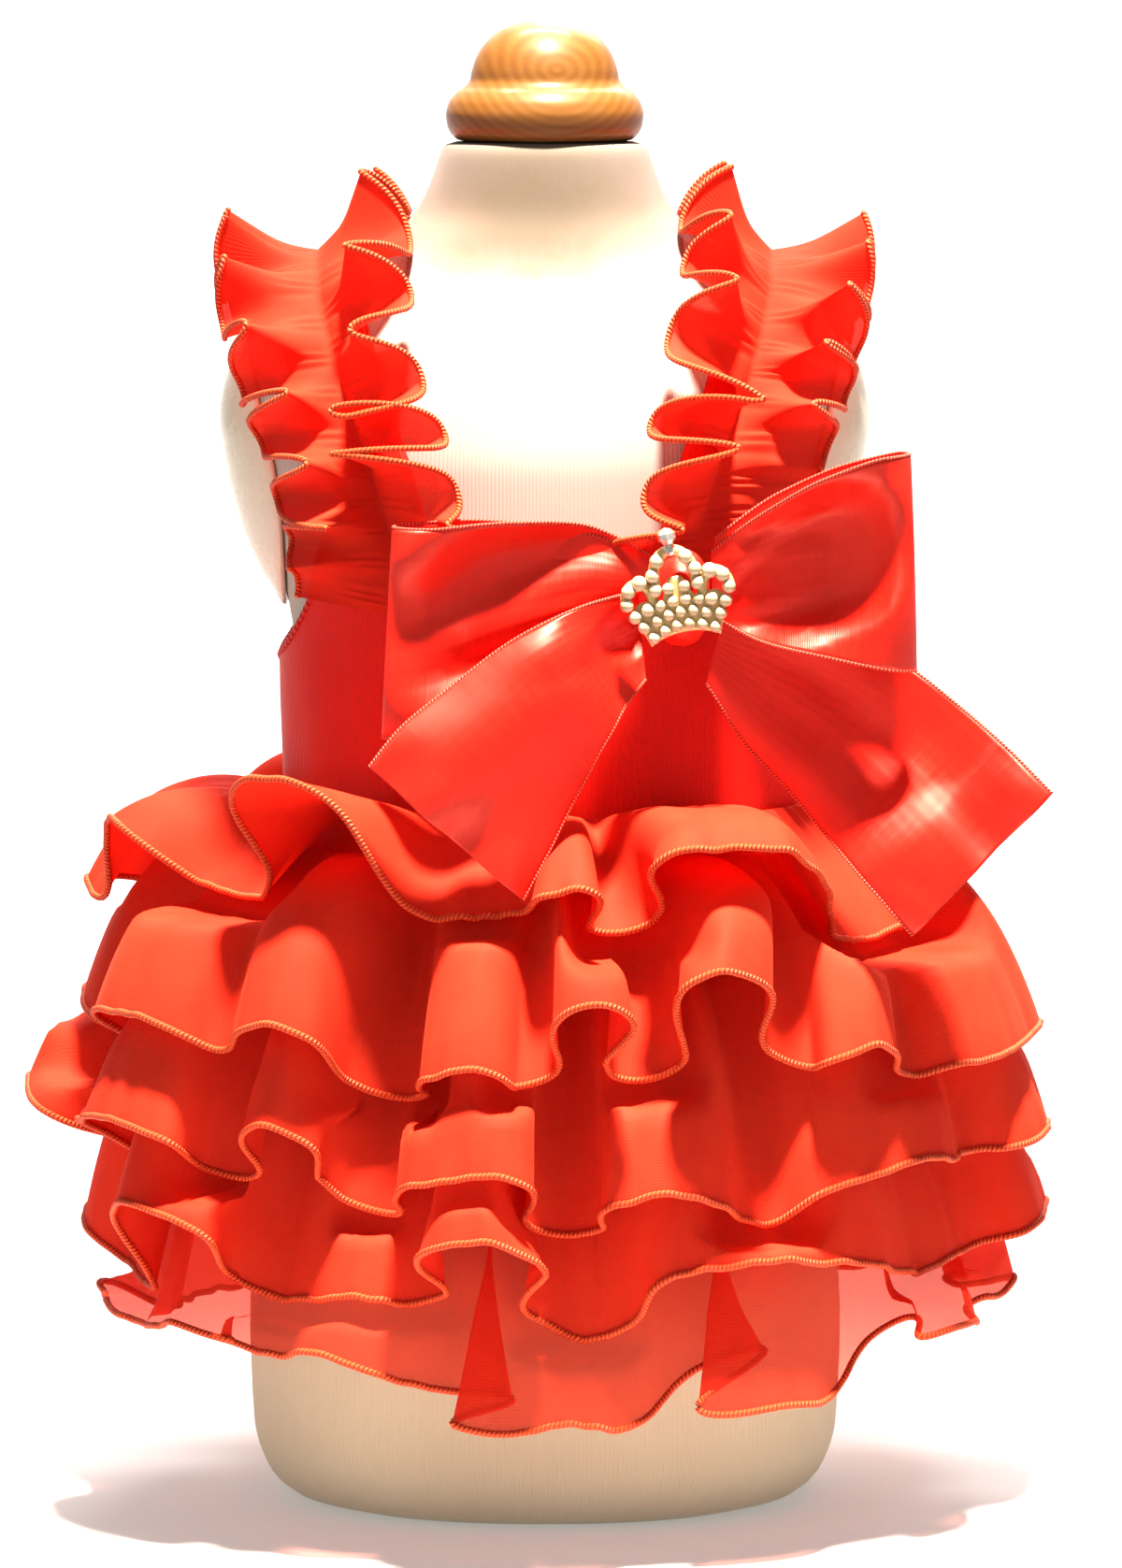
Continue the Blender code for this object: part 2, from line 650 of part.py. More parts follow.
def unit(vectors):
    """Vectors at length 1."""
    return vectors / np.linalg.norm(vectors, axis=-1, keepdims=True)


def ruffle_frame(side, share):
    """A ruffle's seam, and the ways along the strap, away from the neck and off the form."""
    degrees, across = strap_line(share)
    angle, ease = np.radians(degrees), strap_ease(degrees) + KNIT / 2 + GAP + CLOTH
    seat = over_shoulder(side, angle, across, ease)
    along = unit(np.gradient(seat, axis=0))
    slope = STRAP_WIDTH / 4
    edges = [over_shoulder(side, angle, across + way * slope, ease) for way in (-1, 1)]
    away = unit(edges[1] - edges[0])
    return degrees, seat, along, away, unit(np.cross(along, away)) * -side


def ruffle_sheet(side, share, width):
    """A strap ruffle: a strip sewn down its middle, whose halves wave as they stand off the strap."""
    degrees, seat, along, away, off = ruffle_frame(side, share)
    outer = width > 0
    phase = 2 * math.pi * RUFFLE_WAVES * share[:, None] + np.where(outer, 0.9, -0.9) * side
    swing = np.sin(phase + 0.6 * np.sin(2.3 * phase / RUFFLE_WAVES + side))
    lay_low = np.where(outer, OUTER_LAY[side], INNER_LAY[side])
    free = smooth_step((np.minimum(degrees, 180 - degrees)[:, None] - lay_low) / LAY_SPAN)
    top = np.sin(np.radians(degrees))[:, None] ** 2
    swing = RUFFLE_SWING * swing * (1 - TOP_CALM * top)
    stand = RUFFLE_LEAST + (RUFFLE_STAND - TOP_DROP * top + swing - RUFFLE_LEAST) * free
    stand = np.radians(stand)
    reach = np.abs(width) * RUFFLE_WIDTH / 2
    slide = RUFFLE_SLIDE * np.abs(width) * np.cos(phase) * free
    return (
        seat[:, None]
        + (np.sign(width) * reach * np.cos(stand))[..., None] * away[:, None]
        + (reach * np.sin(stand))[..., None] * off[:, None]
        + slide[..., None] * along[:, None]
    )


def build_ruffles(parts, look):
    """The gathered chiffon strips on the straps."""
    share = np.linspace(0.01, 0.99, RUFFLE_WAVES * WAVE_COLUMNS + 1)
    width = np.array([-1, -0.5, 0, 0.5, 1.0])[None, :]
    for name, side in (("strap_ruffle_left", -1), ("strap_ruffle_right", 1)):
        points = ruffle_sheet(side, share, width)
        faces = grid_faces(share.size, width.size, False)
        thicken(add_mesh(parts, name, points, faces, look), CLOTH, even=False)


def ribbon_sheet(table, share, width):
    """A ribbon along its table's stations, bulging to the front between its edges."""
    stations = np.arange(len(table)) / (len(table) - 1)
    columns = np.asarray(table, float).T
    across, height, depth, half, turn, bulge = (smooth_curve(stations, c, share) for c in columns)
    half, turn, bulge = half[:, None], np.radians(turn)[:, None], bulge[:, None]
    return np.stack(
        (
            across[:, None] + width * half * np.sin(turn),
            -depth[:, None] - bulge * (1 - width**2),
            height[:, None] + width * half * np.cos(turn),
        ),
        axis=-1,
    )


def build_bow(parts, look):
    """The ribbon bow: two loops, two tails and the knot that gathers them."""
    width = np.linspace(-1, 1, RIBBON_ROWS)[None, :]
    ribbons = (
        ("bow_loop_left", LOOP_LEFT, 21),
        ("bow_loop_right", LOOP_RIGHT, 21),
        ("bow_tail_left", TAIL_LEFT, 11),
        ("bow_tail_right", TAIL_RIGHT, 11),
    )
    for name, table, count in ribbons:
        points = ribbon_sheet(table, np.linspace(0, 1, count), width)
        faces = grid_faces(count, RIBBON_ROWS, False)
        thicken(add_mesh(parts, name, points, faces, look), RIBBON)
    bpy.ops.mesh.primitive_uv_sphere_add(segments=16, ring_count=9, radius=1.0)
    knot = bpy.context.object
    knot.name = knot.data.name = "bow_knot"
    half = np.array((KNOT_HALF_WIDTH, KNOT_HALF_DEPTH, KNOT_HALF_HEIGHT))
    for vertex in knot.data.vertices:
        rounded = np.sign(vertex.co) * np.abs(vertex.co) ** 0.8
        vertex.co = (np.array(KNOT_MIDDLE) + rounded * half) * MM
    knot.data.materials.append(look)
    knot.data.shade_smooth()
    for home in list(knot.users_collection):
        home.objects.unlink(knot)
    parts.objects.link(knot)


def crown_spline(curve, points):
    """One closed outline of the crown."""
    spline = curve.splines.new("POLY")
    spline.points.add(len(points) - 1)
    for point, (across, up) in zip(spline.points, points):
        point.co = (across * MM, up * MM, 0, 1)
    spline.use_cyclic_u = True


def build_crown(parts, look):
    """The crown brooch's cast plate, with its three arches open."""
    curve = bpy.data.curves.new("crown_outline", "CURVE")
    curve.dimensions = "2D"
    curve.fill_mode = "BOTH"
    curve.extrude = CROWN_THICK / 2 * MM
    right = CROWN_OUTLINE[1:-1]
    left = [(-across, up) for across, up in reversed(right)]
    crown_spline(curve, (CROWN_OUTLINE[0], *right, CROWN_OUTLINE[-1], *left))
    for across, up, half_width, half_height in CROWN_OPENINGS:
        angles = np.linspace(0, 2 * math.pi, 10, endpoint=False)
        ring = [(across + half_width * math.cos(a), up + half_height * math.sin(a)) for a in angles]
        crown_spline(curve, ring)
    drawn = bpy.data.objects.new("crown_outline", curve)
    parts.objects.link(drawn)
    bpy.context.view_layer.update()
    mesh = bpy.data.meshes.new_from_object(drawn.evaluated_get(bpy.context.evaluated_depsgraph_get()))
    bpy.data.objects.remove(drawn)
    shape = bmesh.new()
    shape.from_mesh(mesh)
    bmesh.ops.remove_doubles(shape, verts=shape.verts, dist=0.00001)
    bmesh.ops.recalc_face_normals(shape, faces=shape.faces)
    shape.to_mesh(mesh)
    shape.free()
    mesh.name = "crown"
    mesh.materials.clear()
    mesh.materials.append(look)
    crown = bpy.data.objects.new("crown", mesh)
    parts.objects.link(crown)
    crown.location = [value * MM for value in CROWN_MIDDLE]
    crown.rotation_euler = (math.radians(90), -math.radians(CROWN_TURN), 0)


def main():
    parts = start_scene()
    chiffon = material("red_chiffon", (0.80, 0.03, 0.02), 0.7, sheen=0.3)
    knit = material("red_satin_knit", (0.72, 0.02, 0.015), 0.5, sheen=0.2)
    satin = material("red_satin_ribbon", (0.85, 0.07, 0.04), 0.3)
    jersey = material("cream_jersey", (0.82, 0.76, 0.64), 0.85)
    pearl = material("pearl_plastic", (0.86, 0.82, 0.72), 0.25)
    wood = material("lacquered_wood", (0.55, 0.24, 0.06), 0.25)
    gold = material("gold_plate", (0.80, 0.58, 0.26), 0.3, metal=1.0)
    build_form(parts, jersey)
    build_arm_caps(parts, pearl)
    build_knob(parts, wood)
    build_bodice(parts, knit)
    build_straps(parts, knit)
    build_ruffles(parts, chiffon)
    build_skirt(parts, chiffon)
    build_bow(parts, satin)
    build_crown(parts, gold)


main()
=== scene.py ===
"""A red dog dress on a limbless dress form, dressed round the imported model.

+X is to the right as the front is seen, -Y is the front, +Z is up. Shapes are worked out in
millimetres and become metres as each mesh is made.
"""

import math

import bmesh
import bpy
import numpy as np
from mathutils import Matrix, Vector


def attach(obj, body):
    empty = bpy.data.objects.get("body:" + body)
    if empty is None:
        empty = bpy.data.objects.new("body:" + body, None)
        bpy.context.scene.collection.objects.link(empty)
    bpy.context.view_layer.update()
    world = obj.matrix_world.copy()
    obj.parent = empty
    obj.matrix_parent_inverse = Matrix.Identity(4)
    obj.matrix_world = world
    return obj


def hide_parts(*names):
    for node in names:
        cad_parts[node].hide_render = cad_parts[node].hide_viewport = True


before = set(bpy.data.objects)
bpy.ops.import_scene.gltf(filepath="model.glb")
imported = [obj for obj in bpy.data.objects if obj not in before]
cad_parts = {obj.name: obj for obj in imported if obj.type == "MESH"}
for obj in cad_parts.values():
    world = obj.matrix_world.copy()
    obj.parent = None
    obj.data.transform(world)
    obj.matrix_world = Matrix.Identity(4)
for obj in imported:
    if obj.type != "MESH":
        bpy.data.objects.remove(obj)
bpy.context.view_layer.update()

# Camera, floor and light. The camera looks level from the front, a little downwards. The room is a
# pale sweep lit by a warm spotlight high in front, with soft light from all round.
CAMERA_TARGET = Vector((0.004, 0.0, 0.178))
CAMERA_LIFT, CAMERA_DISTANCE, VIEW_HEIGHT = math.radians(7), 1.6, 0.39
FLOOR_HALF = 4.0  # metres that the sweep reaches to each side
SWEEP = ((-3.0, 0.0), (2.0, 0.0), (2.35, 0.06), (2.6, 0.25), (2.7, 0.6), (2.7, 2.6))  # back, up

camera = bpy.data.objects.new("camera", bpy.data.cameras.new("camera"))
toward = Vector((0, -math.cos(CAMERA_LIFT), math.sin(CAMERA_LIFT)))
camera.location = CAMERA_TARGET + toward * CAMERA_DISTANCE
camera.rotation_euler = (-toward).to_track_quat("-Z", "Y").to_euler()
camera.data.sensor_fit = "VERTICAL"
camera.data.angle = 2 * math.atan(VIEW_HEIGHT / 2 / CAMERA_DISTANCE)
bpy.context.collection.objects.link(camera)
bpy.context.scene.camera = camera
bpy.context.scene.view_settings.view_transform = "Standard"
bpy.context.scene.view_settings.gamma = 0.88


def node(tree, kind, inputs=(), **settings):
    """Adds a shader node; inputs maps its sockets to values, colours or sockets to join."""
    made = tree.nodes.new(kind)
    for name, value in settings.items():
        setattr(made, name, value)
    for name, value in dict(inputs).items():
        socket = made.inputs[name]
        if isinstance(value, bpy.types.NodeSocket):
            tree.links.new(value, socket)
        else:
            socket.default_value = (*value, 1) if socket.type == "RGBA" else value
    return made


def new_material(name):
    """A material and its empty tree."""
    made = bpy.data.materials.new(name)
    made.use_nodes = True
    made.node_tree.nodes.clear()
    return made, made.node_tree


def surface(tree, inputs, kind="ShaderNodeBsdfPrincipled"):
    """The shader that a material ends in, joined to its output."""
    shade = node(tree, kind, inputs)
    node(tree, "ShaderNodeOutputMaterial", {"Surface": shade.outputs[0]})


def lamp(name, place, aim, power, colour, kind="AREA", **settings):
    """A light at a place, aimed at a point."""
    light = bpy.data.lights.new(name, kind)
    light.energy, light.color = power, colour
    for setting, value in settings.items():
        setattr(light, setting, value)
    made = bpy.data.objects.new(name, light)
    made.location = place
    made.rotation_euler = (Vector(aim) - Vector(place)).to_track_quat("-Z", "Y").to_euler()
    bpy.context.collection.objects.link(made)


lamp(
    "key", (0.12, -0.42, 2.1), (0.01, -0.06, 0.05), 1150.0, (1.0, 0.90, 0.78), "SPOT",
    shadow_soft_size=0.1, spot_size=math.radians(15.5), spot_blend=1.0,
)
lamp("backdrop_light", (0.0, 1.3, 2.4), (0, 2.5, 0.5), 130.0, (1.0, 0.97, 0.96), size=1.4)
lamp("fill_left", (-1.5, -1.1, 0.7), (0, 0, 0.15), 3.0, (1.0, 0.93, 0.86), size=1.2)
lamp("fill_right", (1.5, -1.0, 0.9), (0, 0, 0.15), 3.0, (1.0, 0.93, 0.86), size=1.2)
lamp("back_light", (0.4, 1.6, 1.5), (0, 0, 0.15), 16.0, (1.0, 0.94, 0.88), size=1.0)
world = bpy.data.worlds.new("studio")
bpy.context.scene.world = world
world.use_nodes = True
background = world.node_tree.nodes["Background"].inputs
background["Color"].default_value = (1.0, 0.97, 0.94, 1.0)
background["Strength"].default_value = 0.3

floor_look, tree = new_material("pale_floor")
surface(tree, {
    "Base Color": (0.6, 0.59, 0.575), "Roughness": 0.9, "Specular IOR Level": 0.1,
    "Emission Color": (1.0, 0.98, 0.96), "Emission Strength": 0.3,
})
floor_points = [(x, y, z) for y, z in SWEEP for x in (-FLOOR_HALF, FLOOR_HALF)]
floor_quads = [(i, i + 1, i + 3, i + 2) for i in range(0, 2 * len(SWEEP) - 2, 2)]
floor_mesh = bpy.data.meshes.new("floor")
floor_mesh.from_pydata(floor_points, [], floor_quads)
floor_mesh.materials.append(floor_look)
floor_mesh.shade_smooth()
floor = bpy.data.objects.new("floor", floor_mesh)
bpy.context.collection.objects.link(floor)


# Dress form: a foam body shaped from a flat base up to the neck, covered in fine cream jersey
# that is drawn tight and tucked under, so it shows only its rib; its colour has painted light and
# shade.
FORM_SQUARE = 2.3  # exponent of the body's rounded-oblong sections
# The dress form's sections: height, half width, half depth.
FORM_SECTIONS = (
    (0, 57, 42), (2.5, 65, 49), (8, 70, 54), (18, 73, 57), (42, 74, 57.5), (95, 69.5, 54),
    (140, 64.5, 50.5), (178, 61.5, 47.5), (205, 61, 47), (222, 63, 48), (240, 68, 49),
    (258, 72, 49), (273, 74, 47.5), (285, 73, 44), (296, 68, 38), (305, 58, 33), (312, 44.5, 29.4),
    (320, 31.8, 26.2), (329, 27.4, 24.6), (334, 25.7, 23.6), (336.2, 24.4, 22.4), (337, 22.0, 20.2),
)


def smooth_curve(knots, values, at):
    """Values of a smooth curve through the knots that never swings past them."""
    knots, values = np.asarray(knots, float), np.asarray(values, float)
    steps = np.diff(knots)
    rises = np.diff(values) / steps
    before, after = rises[:-1], rises[1:]
    turning = before * after <= 0
    total = np.where(turning, 1.0, before + after)
    inner = np.where(turning, 0.0, 2 * before * after / total)
    slopes = np.concatenate(([rises[0]], inner, [rises[-1]]))
    span = np.clip(np.searchsorted(knots, at, side="right") - 1, 0, len(knots) - 2)
    step = steps[span]
    t = np.clip((at - knots[span]) / step, 0, 1)
    start, end = values[span], values[span + 1]
    lift = t * t * (3 - 2 * t)
    return (
        start + (end - start) * lift
        + step * slopes[span] * t * (1 - t) ** 2
        - step * slopes[span + 1] * t * t * (1 - t)
    )


def round_curve(turns, values, at):
    """The same for a curve that closes after a full turn."""
    turns = (np.asarray(turns, float) + 180) % 360 - 180
    order = np.argsort(turns)
    wide = np.concatenate((turns[order] - 360, turns[order], turns[order] + 360))
    return smooth_curve(wide, np.tile(np.asarray(values, float)[order], 3), at)


def table_curve(table, column, at):
    """A table's column as a smooth curve over its first column."""
    rows = np.asarray(table, float)
    return smooth_curve(rows[:, 0], rows[:, column], at)


def oblong(turn, half_width, half_depth):
    """Radius of a rounded oblong at a turn from the front."""
    across = np.abs(np.sin(turn)) / half_width
    deep = np.abs(np.cos(turn)) / half_depth
    return (across**FORM_SQUARE + deep**FORM_SQUARE) ** (-1 / FORM_SQUARE)


def place(turn, radius, height):
    """Points at a turn from the front, a radius and a height."""
    turn, radius, height = np.broadcast_arrays(turn, radius, height)
    return np.stack((np.sin(turn) * radius, -np.cos(turn) * radius, height), axis=-1)


def form_halves(height):
    """Half width and half depth of the dress form."""
    return [table_curve(FORM_SECTIONS, column, height) for column in (1, 2)]


def form_radius(turn, height):
    """Radius of the dress form."""
    return oblong(turn, *form_halves(height))


def grid_faces(rows, columns):
    """Quads of a grid of points, as an array."""
    here = np.arange(rows * columns).reshape(rows, columns)
    low, high = here[:-1], here[1:]
    return np.stack((low[:, :-1], low[:, 1:], high[:, 1:], high[:, :-1]), axis=-1).reshape(-1, 4)


def grid_uv(across, down):
    """Texture places in metres: one value across for each column, one down for each row."""
    return np.stack(np.broadcast_arrays(across[None, :], down[:, None]), axis=-1)


MERGE_WITHIN = 1e-6  # metres


def add_piece(name, points, look, replaces=(), uv=None, faces=None, order=1):
    """A piece riding on the root, from points in millimetres, with its seams and poles merged.

    Points without faces are a grid, whose quads an order of -1 turns round. Each point's uv is a
    pair in metres.
    """
    mesh = bpy.data.meshes.new(name)
    if faces is None:
        faces = grid_faces(*points.shape[:2])[:, ::order]
    mesh.from_pydata((points.reshape(-1, 3) / 1000).tolist(), [], faces.tolist())
    if uv is not None:
        corners = np.empty(len(mesh.loops), int)
        mesh.loops.foreach_get("vertex_index", corners)
        layer = mesh.uv_layers.new(name="cloth")
        layer.data.foreach_set("uv", uv.reshape(-1, 2)[corners].ravel())
    shape = bmesh.new()
    shape.from_mesh(mesh)
    bmesh.ops.remove_doubles(shape, verts=shape.verts, dist=MERGE_WITHIN)
    shape.to_mesh(mesh)
    shape.free()
    mesh.materials.append(look)
    mesh.shade_smooth()
    made = bpy.data.objects.new(name, mesh)
    bpy.context.collection.objects.link(made)
    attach(made, "root")
    if replaces:
        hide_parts(*replaces)
    return made


def pattern_group(name, inputs):
    """A node group with float inputs and one mask output, and its two end nodes."""
    group = bpy.data.node_groups.new(name, "ShaderNodeTree")
    for label, value in inputs.items():
        socket = group.interface.new_socket(label, in_out="INPUT", socket_type="NodeSocketFloat")
        socket.default_value = value
    group.interface.new_socket("Mask", in_out="OUTPUT", socket_type="NodeSocketFloat")
    return group, group.nodes.new("NodeGroupInput"), group.nodes.new("NodeGroupOutput")


def placed(tree, group, **values):
    """The mask of a group placed in a material with its own values."""
    made = tree.nodes.new("ShaderNodeGroup")
    made.node_tree = group
    for name, value in values.items():
        made.inputs[name].default_value = value
    return made.outputs["Mask"]


def mixed(tree, share, first, second):
    """A colour that goes from the first to the second with the share."""
    sockets = {0: share, 6: first, 7: second}
    return node(tree, "ShaderNodeMix", sockets, data_type="RGBA").outputs[2]


def blotchy(tree, size, first, second):
    """Two colours in soft uneven patches, as many to a metre as the size says."""
    return mixed(tree, placed(tree, blotches, Size=size), first, second)


def coordinates(tree, kind):
    """Places on the piece, by Object, or along its cloth, by UV."""
    return node(tree, "ShaderNodeTexCoord").outputs[kind]


def maths(tree, operation, *values):
    """The result of an operation on values or sockets."""
    return node(tree, "ShaderNodeMath", enumerate(values), operation=operation).outputs[0]


def ranged(tree, value, start, end, low=0.0, high=1.0, **settings):
    """A number that goes from low to high as the value goes from the start to the end."""
    return node(tree, "ShaderNodeMapRange", {
        "Value": value, "From Min": start, "From Max": end, "To Min": low, "To Max": high,
    }, **settings).outputs["Result"]


def bumped(tree, height, strength, distance):
    """The normal of a surface that a height raises by up to a distance in metres."""
    raised = node(tree, "ShaderNodeBump", {
        "Height": height, "Strength": strength, "Distance": distance,
    })
    return raised.outputs["Normal"]


# Soft uneven patches over finer ones, from 0 to 1; Size is how many there are in a metre.
blotches, given, result = pattern_group("blotches", {"Size": 12.0})
patches = node(blotches, "ShaderNodeTexNoise", {
    "Vector": coordinates(blotches, "Object"), "Scale": given.outputs["Size"], "Detail": 5.0,
    "Roughness": 0.6,
})
eased = ranged(blotches, patches.outputs[0], 0.3, 0.7)
blotches.links.new(eased, result.inputs["Mask"])

# Two crossed sets of threads seen from above, from 0 to 1. Threads and Cross are how many there are
# in a metre of each.
weave, given, result = pattern_group("weave", {"Threads": 2500.0, "Cross": 2500.0})
apart = node(weave, "ShaderNodeSeparateXYZ", {0: coordinates(weave, "UV")})
sets = []
for axis, label in (("X", "Threads"), ("Y", "Cross")):
    turn = maths(weave, "MULTIPLY", apart.outputs[axis], given.outputs[label])
    wave = maths(weave, "SINE", maths(weave, "MULTIPLY", turn, 2 * math.pi))
    sets.append(maths(weave, "MULTIPLY_ADD", wave, 0.25, 0.25))
weave.links.new(maths(weave, "ADD", *sets), result.inputs["Mask"])

jersey, tree = new_material("cream_jersey")
spot = coordinates(tree, "Object")
upwards = node(tree, "ShaderNodeSeparateXYZ", {0: spot}).outputs["Z"]
# The jersey's cream, painted darker and browner as painted shade on the lower body.
tone = blotchy(tree, 9.0, (0.51, 0.44, 0.33), (0.57, 0.50, 0.38))
# Painted light and shade by height, each from one height to another in metres: the chest is painted
# paler, where light falls full, and the neck a dark tan, painted shade for its steep sides.
CHEST_PAINTED_LIGHT, NECK_PAINTED_SHADE = (0.12, 0.27, (0.52, 0.505, 0.465)), (0.292, 0.318, (0.205, 0.168, 0.145))
for low, high, dull in (CHEST_PAINTED_LIGHT, NECK_PAINTED_SHADE):
    painted_share = ranged(tree, upwards, low, high, interpolation_type="SMOOTHSTEP")
    tone = mixed(tree, painted_share, tone, dull)
knit = placed(tree, weave, Threads=830.0, Cross=0.0)
tone = mixed(tree, knit, mixed(tree, 0.16, tone, (0.4, 0.32, 0.22)), tone)
# Painted shade on the neck under the knob: an oval spot on its front, with a ragged edge.
off_spot = node(tree, "ShaderNodeVectorMath", {
    0: spot, 1: (0.004, 0.026, -0.320),
}, operation="ADD")
off_spot = node(tree, "ShaderNodeVectorMath", {
    0: off_spot.outputs[0], 1: (34.0, 50.0, 58.0),
}, operation="MULTIPLY")
far = node(tree, "ShaderNodeVectorMath", {0: off_spot.outputs[0]}, operation="LENGTH")
ragged = placed(tree, blotches, Size=90.0)
ragged = maths(tree, "MULTIPLY_ADD", ragged, 0.5, far.outputs["Value"])
neck_spot_shade = ranged(tree, ragged, 1.7, 0.6, high=0.95)
surface(tree, {
    "Base Color": mixed(tree, neck_spot_shade, tone, (0.185, 0.145, 0.103)), "Roughness": 0.85,
    "Sheen Weight": 0.1, "Normal": bumped(tree, knit, 0.5, 0.0003),
})

# Rows in four bands, closer together where the form curves more. The foot closes on a pole, and
# the neck ends open just under the knob.
JERSEY_RUN = 0.066  # metres of cloth for each radian round the form
heights = np.concatenate([
    np.linspace(*band) for band in ((0, 20, 10), (24, 240, 28), (245, 333, 40), (334, 337, 6))
])
turns = np.linspace(-math.pi, math.pi, 145)
body = place(turns[None, :], form_radius(turns[None, :], heights[:, None]), heights[:, None])
body = np.concatenate((body[:1] * 0 + body[0].mean(axis=0), body))
rows = np.concatenate(([-50], heights)) / 1000
add_piece("jersey_body", body, jersey, ["dress_form"], grid_uv(turns * JERSEY_RUN, rows))


# Neck knob: a beech ring and dome turned in one piece, stained and lacquered. The grain runs from
# front to back, so its rings show as ovals on the front of the dome.
KNOB_BASE = 337.3
KNOB_PROFILE = (  # radius, height over the knob's base
    (0, 0), (20.0, 0), (22.6, 1.2), (24.0, 3.8), (24.3, 6.4), (23.6, 9.2), (21.6, 11.8),
    (19.6, 13.2), (18.4, 14.8), (17.9, 17.2), (16.6, 20.8), (14.0, 24.4), (9.8, 27.4), (4.9, 28.9),
    (0, 29.2),
)


def streaks(tree, vector, scale):
    """Fine noise drawn out by a scale for each axis, from 0 to 1."""
    drawn = node(tree, "ShaderNodeMapping", {"Vector": vector, "Scale": scale}).outputs[0]
    noise = {"Vector": drawn, "Scale": 1.0, "Detail": 3.0}
    return node(tree, "ShaderNodeTexNoise", noise).outputs[0]


lacquered_wood, tree = new_material("lacquered_wood")
turned = node(tree, "ShaderNodeMapping", {
    "Vector": coordinates(tree, "Object"), "Location": (0.003, -0.018, 0.3545),
    "Rotation": (0.3, 0.1, 0.1), "Scale": (1.45, 1.0, 0.95),
}, vector_type="TEXTURE").outputs[0]
rings = node(tree, "ShaderNodeTexWave", {
    "Vector": turned, "Scale": 150.0, "Distortion": 2.4, "Detail": 2.0, "Detail Scale": 0.5,
}, wave_type="RINGS", rings_direction="Y", wave_profile="SIN")
grain = mixed(tree, rings.outputs["Fac"], (0.262, 0.118, 0.025), (0.222, 0.092, 0.017))
fibres = streaks(tree, turned, (900.0, 60.0, 900.0))
grain = mixed(tree, fibres, grain, mixed(tree, 0.18, grain, (0.12, 0.03, 0.004)))
surface(tree, {
    "Base Color": grain, "Roughness": 0.5, "Specular IOR Level": 0.3, "Coat Weight": 0.35,
    "Coat Roughness": 0.2,
})

stations = np.arange(len(KNOB_PROFILE))
along = np.linspace(0, len(KNOB_PROFILE) - 1, 90)
radius, rise = (smooth_curve(stations, column, along)[:, None] for column in zip(*KNOB_PROFILE))
knob = place(turns[None, :], np.maximum(radius, 0), KNOB_BASE + rise)
add_piece("turned_knob", knob, lacquered_wood, ["form_knob"])


# Arm plates: two domed oval plates of pearly plastic, pressed on over the tucked-in jersey to close
# the arm ends.
CAP_HALF_HEIGHT, CAP_HALF_DEPTH, CAP_MIDDLE = 33.0, 25.0, 256.0
CAP_SEAT, CAP_RIM, CAP_BULGE = 0.7, 1.9, 5.0


def arm_point(side, depth, height, out):
    """A point on the form's side at a depth and height, moved straight out."""
    half_width, half_depth = form_halves(height)
    share = 1 - (np.abs(depth) / half_depth) ** FORM_SQUARE
    across = half_width * share ** (1 / FORM_SQUARE) + out
    return np.stack((side * across, depth, height), axis=-1)


pearl_plastic, tree = new_material("pearl_plastic")
surface(tree, {
    "Base Color": blotchy(tree, 14.0, (0.74, 0.68, 0.52), (0.80, 0.76, 0.62)),
    "Roughness": ranged(tree, placed(tree, blotches, Size=200.0), 0.0, 1.0, 0.2, 0.34),
    "Coat Weight": 0.5,
})

# Rings from the middle of the back out to the rim, and from there to the middle of the front.
BACK_RINGS, FRONT_RINGS = 12, 20
share = np.concatenate((np.linspace(0, 1, BACK_RINGS), np.linspace(1, 0, FRONT_RINGS)))[:, None]
in_front = np.arange(len(share))[:, None] >= BACK_RINGS
out = np.where(in_front, CAP_RIM + CAP_BULGE * (1 - share**3), CAP_SEAT)
angle = np.linspace(0, 2 * math.pi, 73)[None, :]
depth = CAP_HALF_DEPTH * share * np.cos(angle)
height = CAP_MIDDLE + CAP_HALF_HEIGHT * share * np.sin(angle)
SIDES = (("left", -1), ("right", 1))
for name, side in SIDES:
    plate = arm_point(side, depth, height, out)
    add_piece(
        f"arm_plate_{name}", plate, pearl_plastic, [f"arm_cap_{name}"], order=side,
    )


# Bodice: a close tube of red stretch satin knit, with its neck and armholes bound in one edge. It
# runs on under the skirt as a short yoke, which the tiers are sewn to.
YOKE_LOW = 102.0
# The bodice's ease over the form: height, at the sides, at the front and back.
BODICE_EASE = (
    (88, 2.4, 2.4), (178, 3.2, 3.0), (205, 4.2, 3.2), (225, 3.0, 3.0), (262, 3.0, 3.0),
)
# The bodice's top edge: turn from the front or the back in degrees, height.
TOP_EDGE = ((0, 240), (26, 241), (34, 247), (52, 244), (62, 226), (76, 214), (90, 210))

# Satin knit: a close red jersey with fine upright ribs and a soft shine.
satin_knit, tree = new_material("red_satin_knit")
tone = blotchy(tree, 22.0, (0.70, 0.012, 0.005), (0.80, 0.024, 0.010))
knit = placed(tree, weave, Threads=1250.0, Cross=0.0)
surface(tree, {
    "Base Color": mixed(tree, knit, mixed(tree, 0.3, tone, (0.35, 0.002, 0.001)), tone),
    "Roughness": 0.48, "Specular IOR Level": 0.2, "Normal": bumped(tree, knit, 0.4, 0.0003),
})


def thread_look(name, colour, shadow, pitch):
    """Thread in slanted stitches a pitch in metres apart, from the shadow to the colour."""
    look, tree = new_material(name)
    apart = node(tree, "ShaderNodeSeparateXYZ", {0: coordinates(tree, "UV")})
    slant = maths(tree, "MULTIPLY_ADD", apart.outputs["Y"], 0.35, apart.outputs["X"])
    wave = maths(tree, "SINE", maths(tree, "MULTIPLY", slant, 2 * math.pi / pitch))
    stitch = ranged(tree, wave, -1.0, 1.0)
    surface(tree, {
        "Base Color": mixed(tree, stitch, shadow, colour), "Roughness": 0.6,
        "Normal": bumped(tree, stitch, 1.0, pitch / 3),
    })
    return look


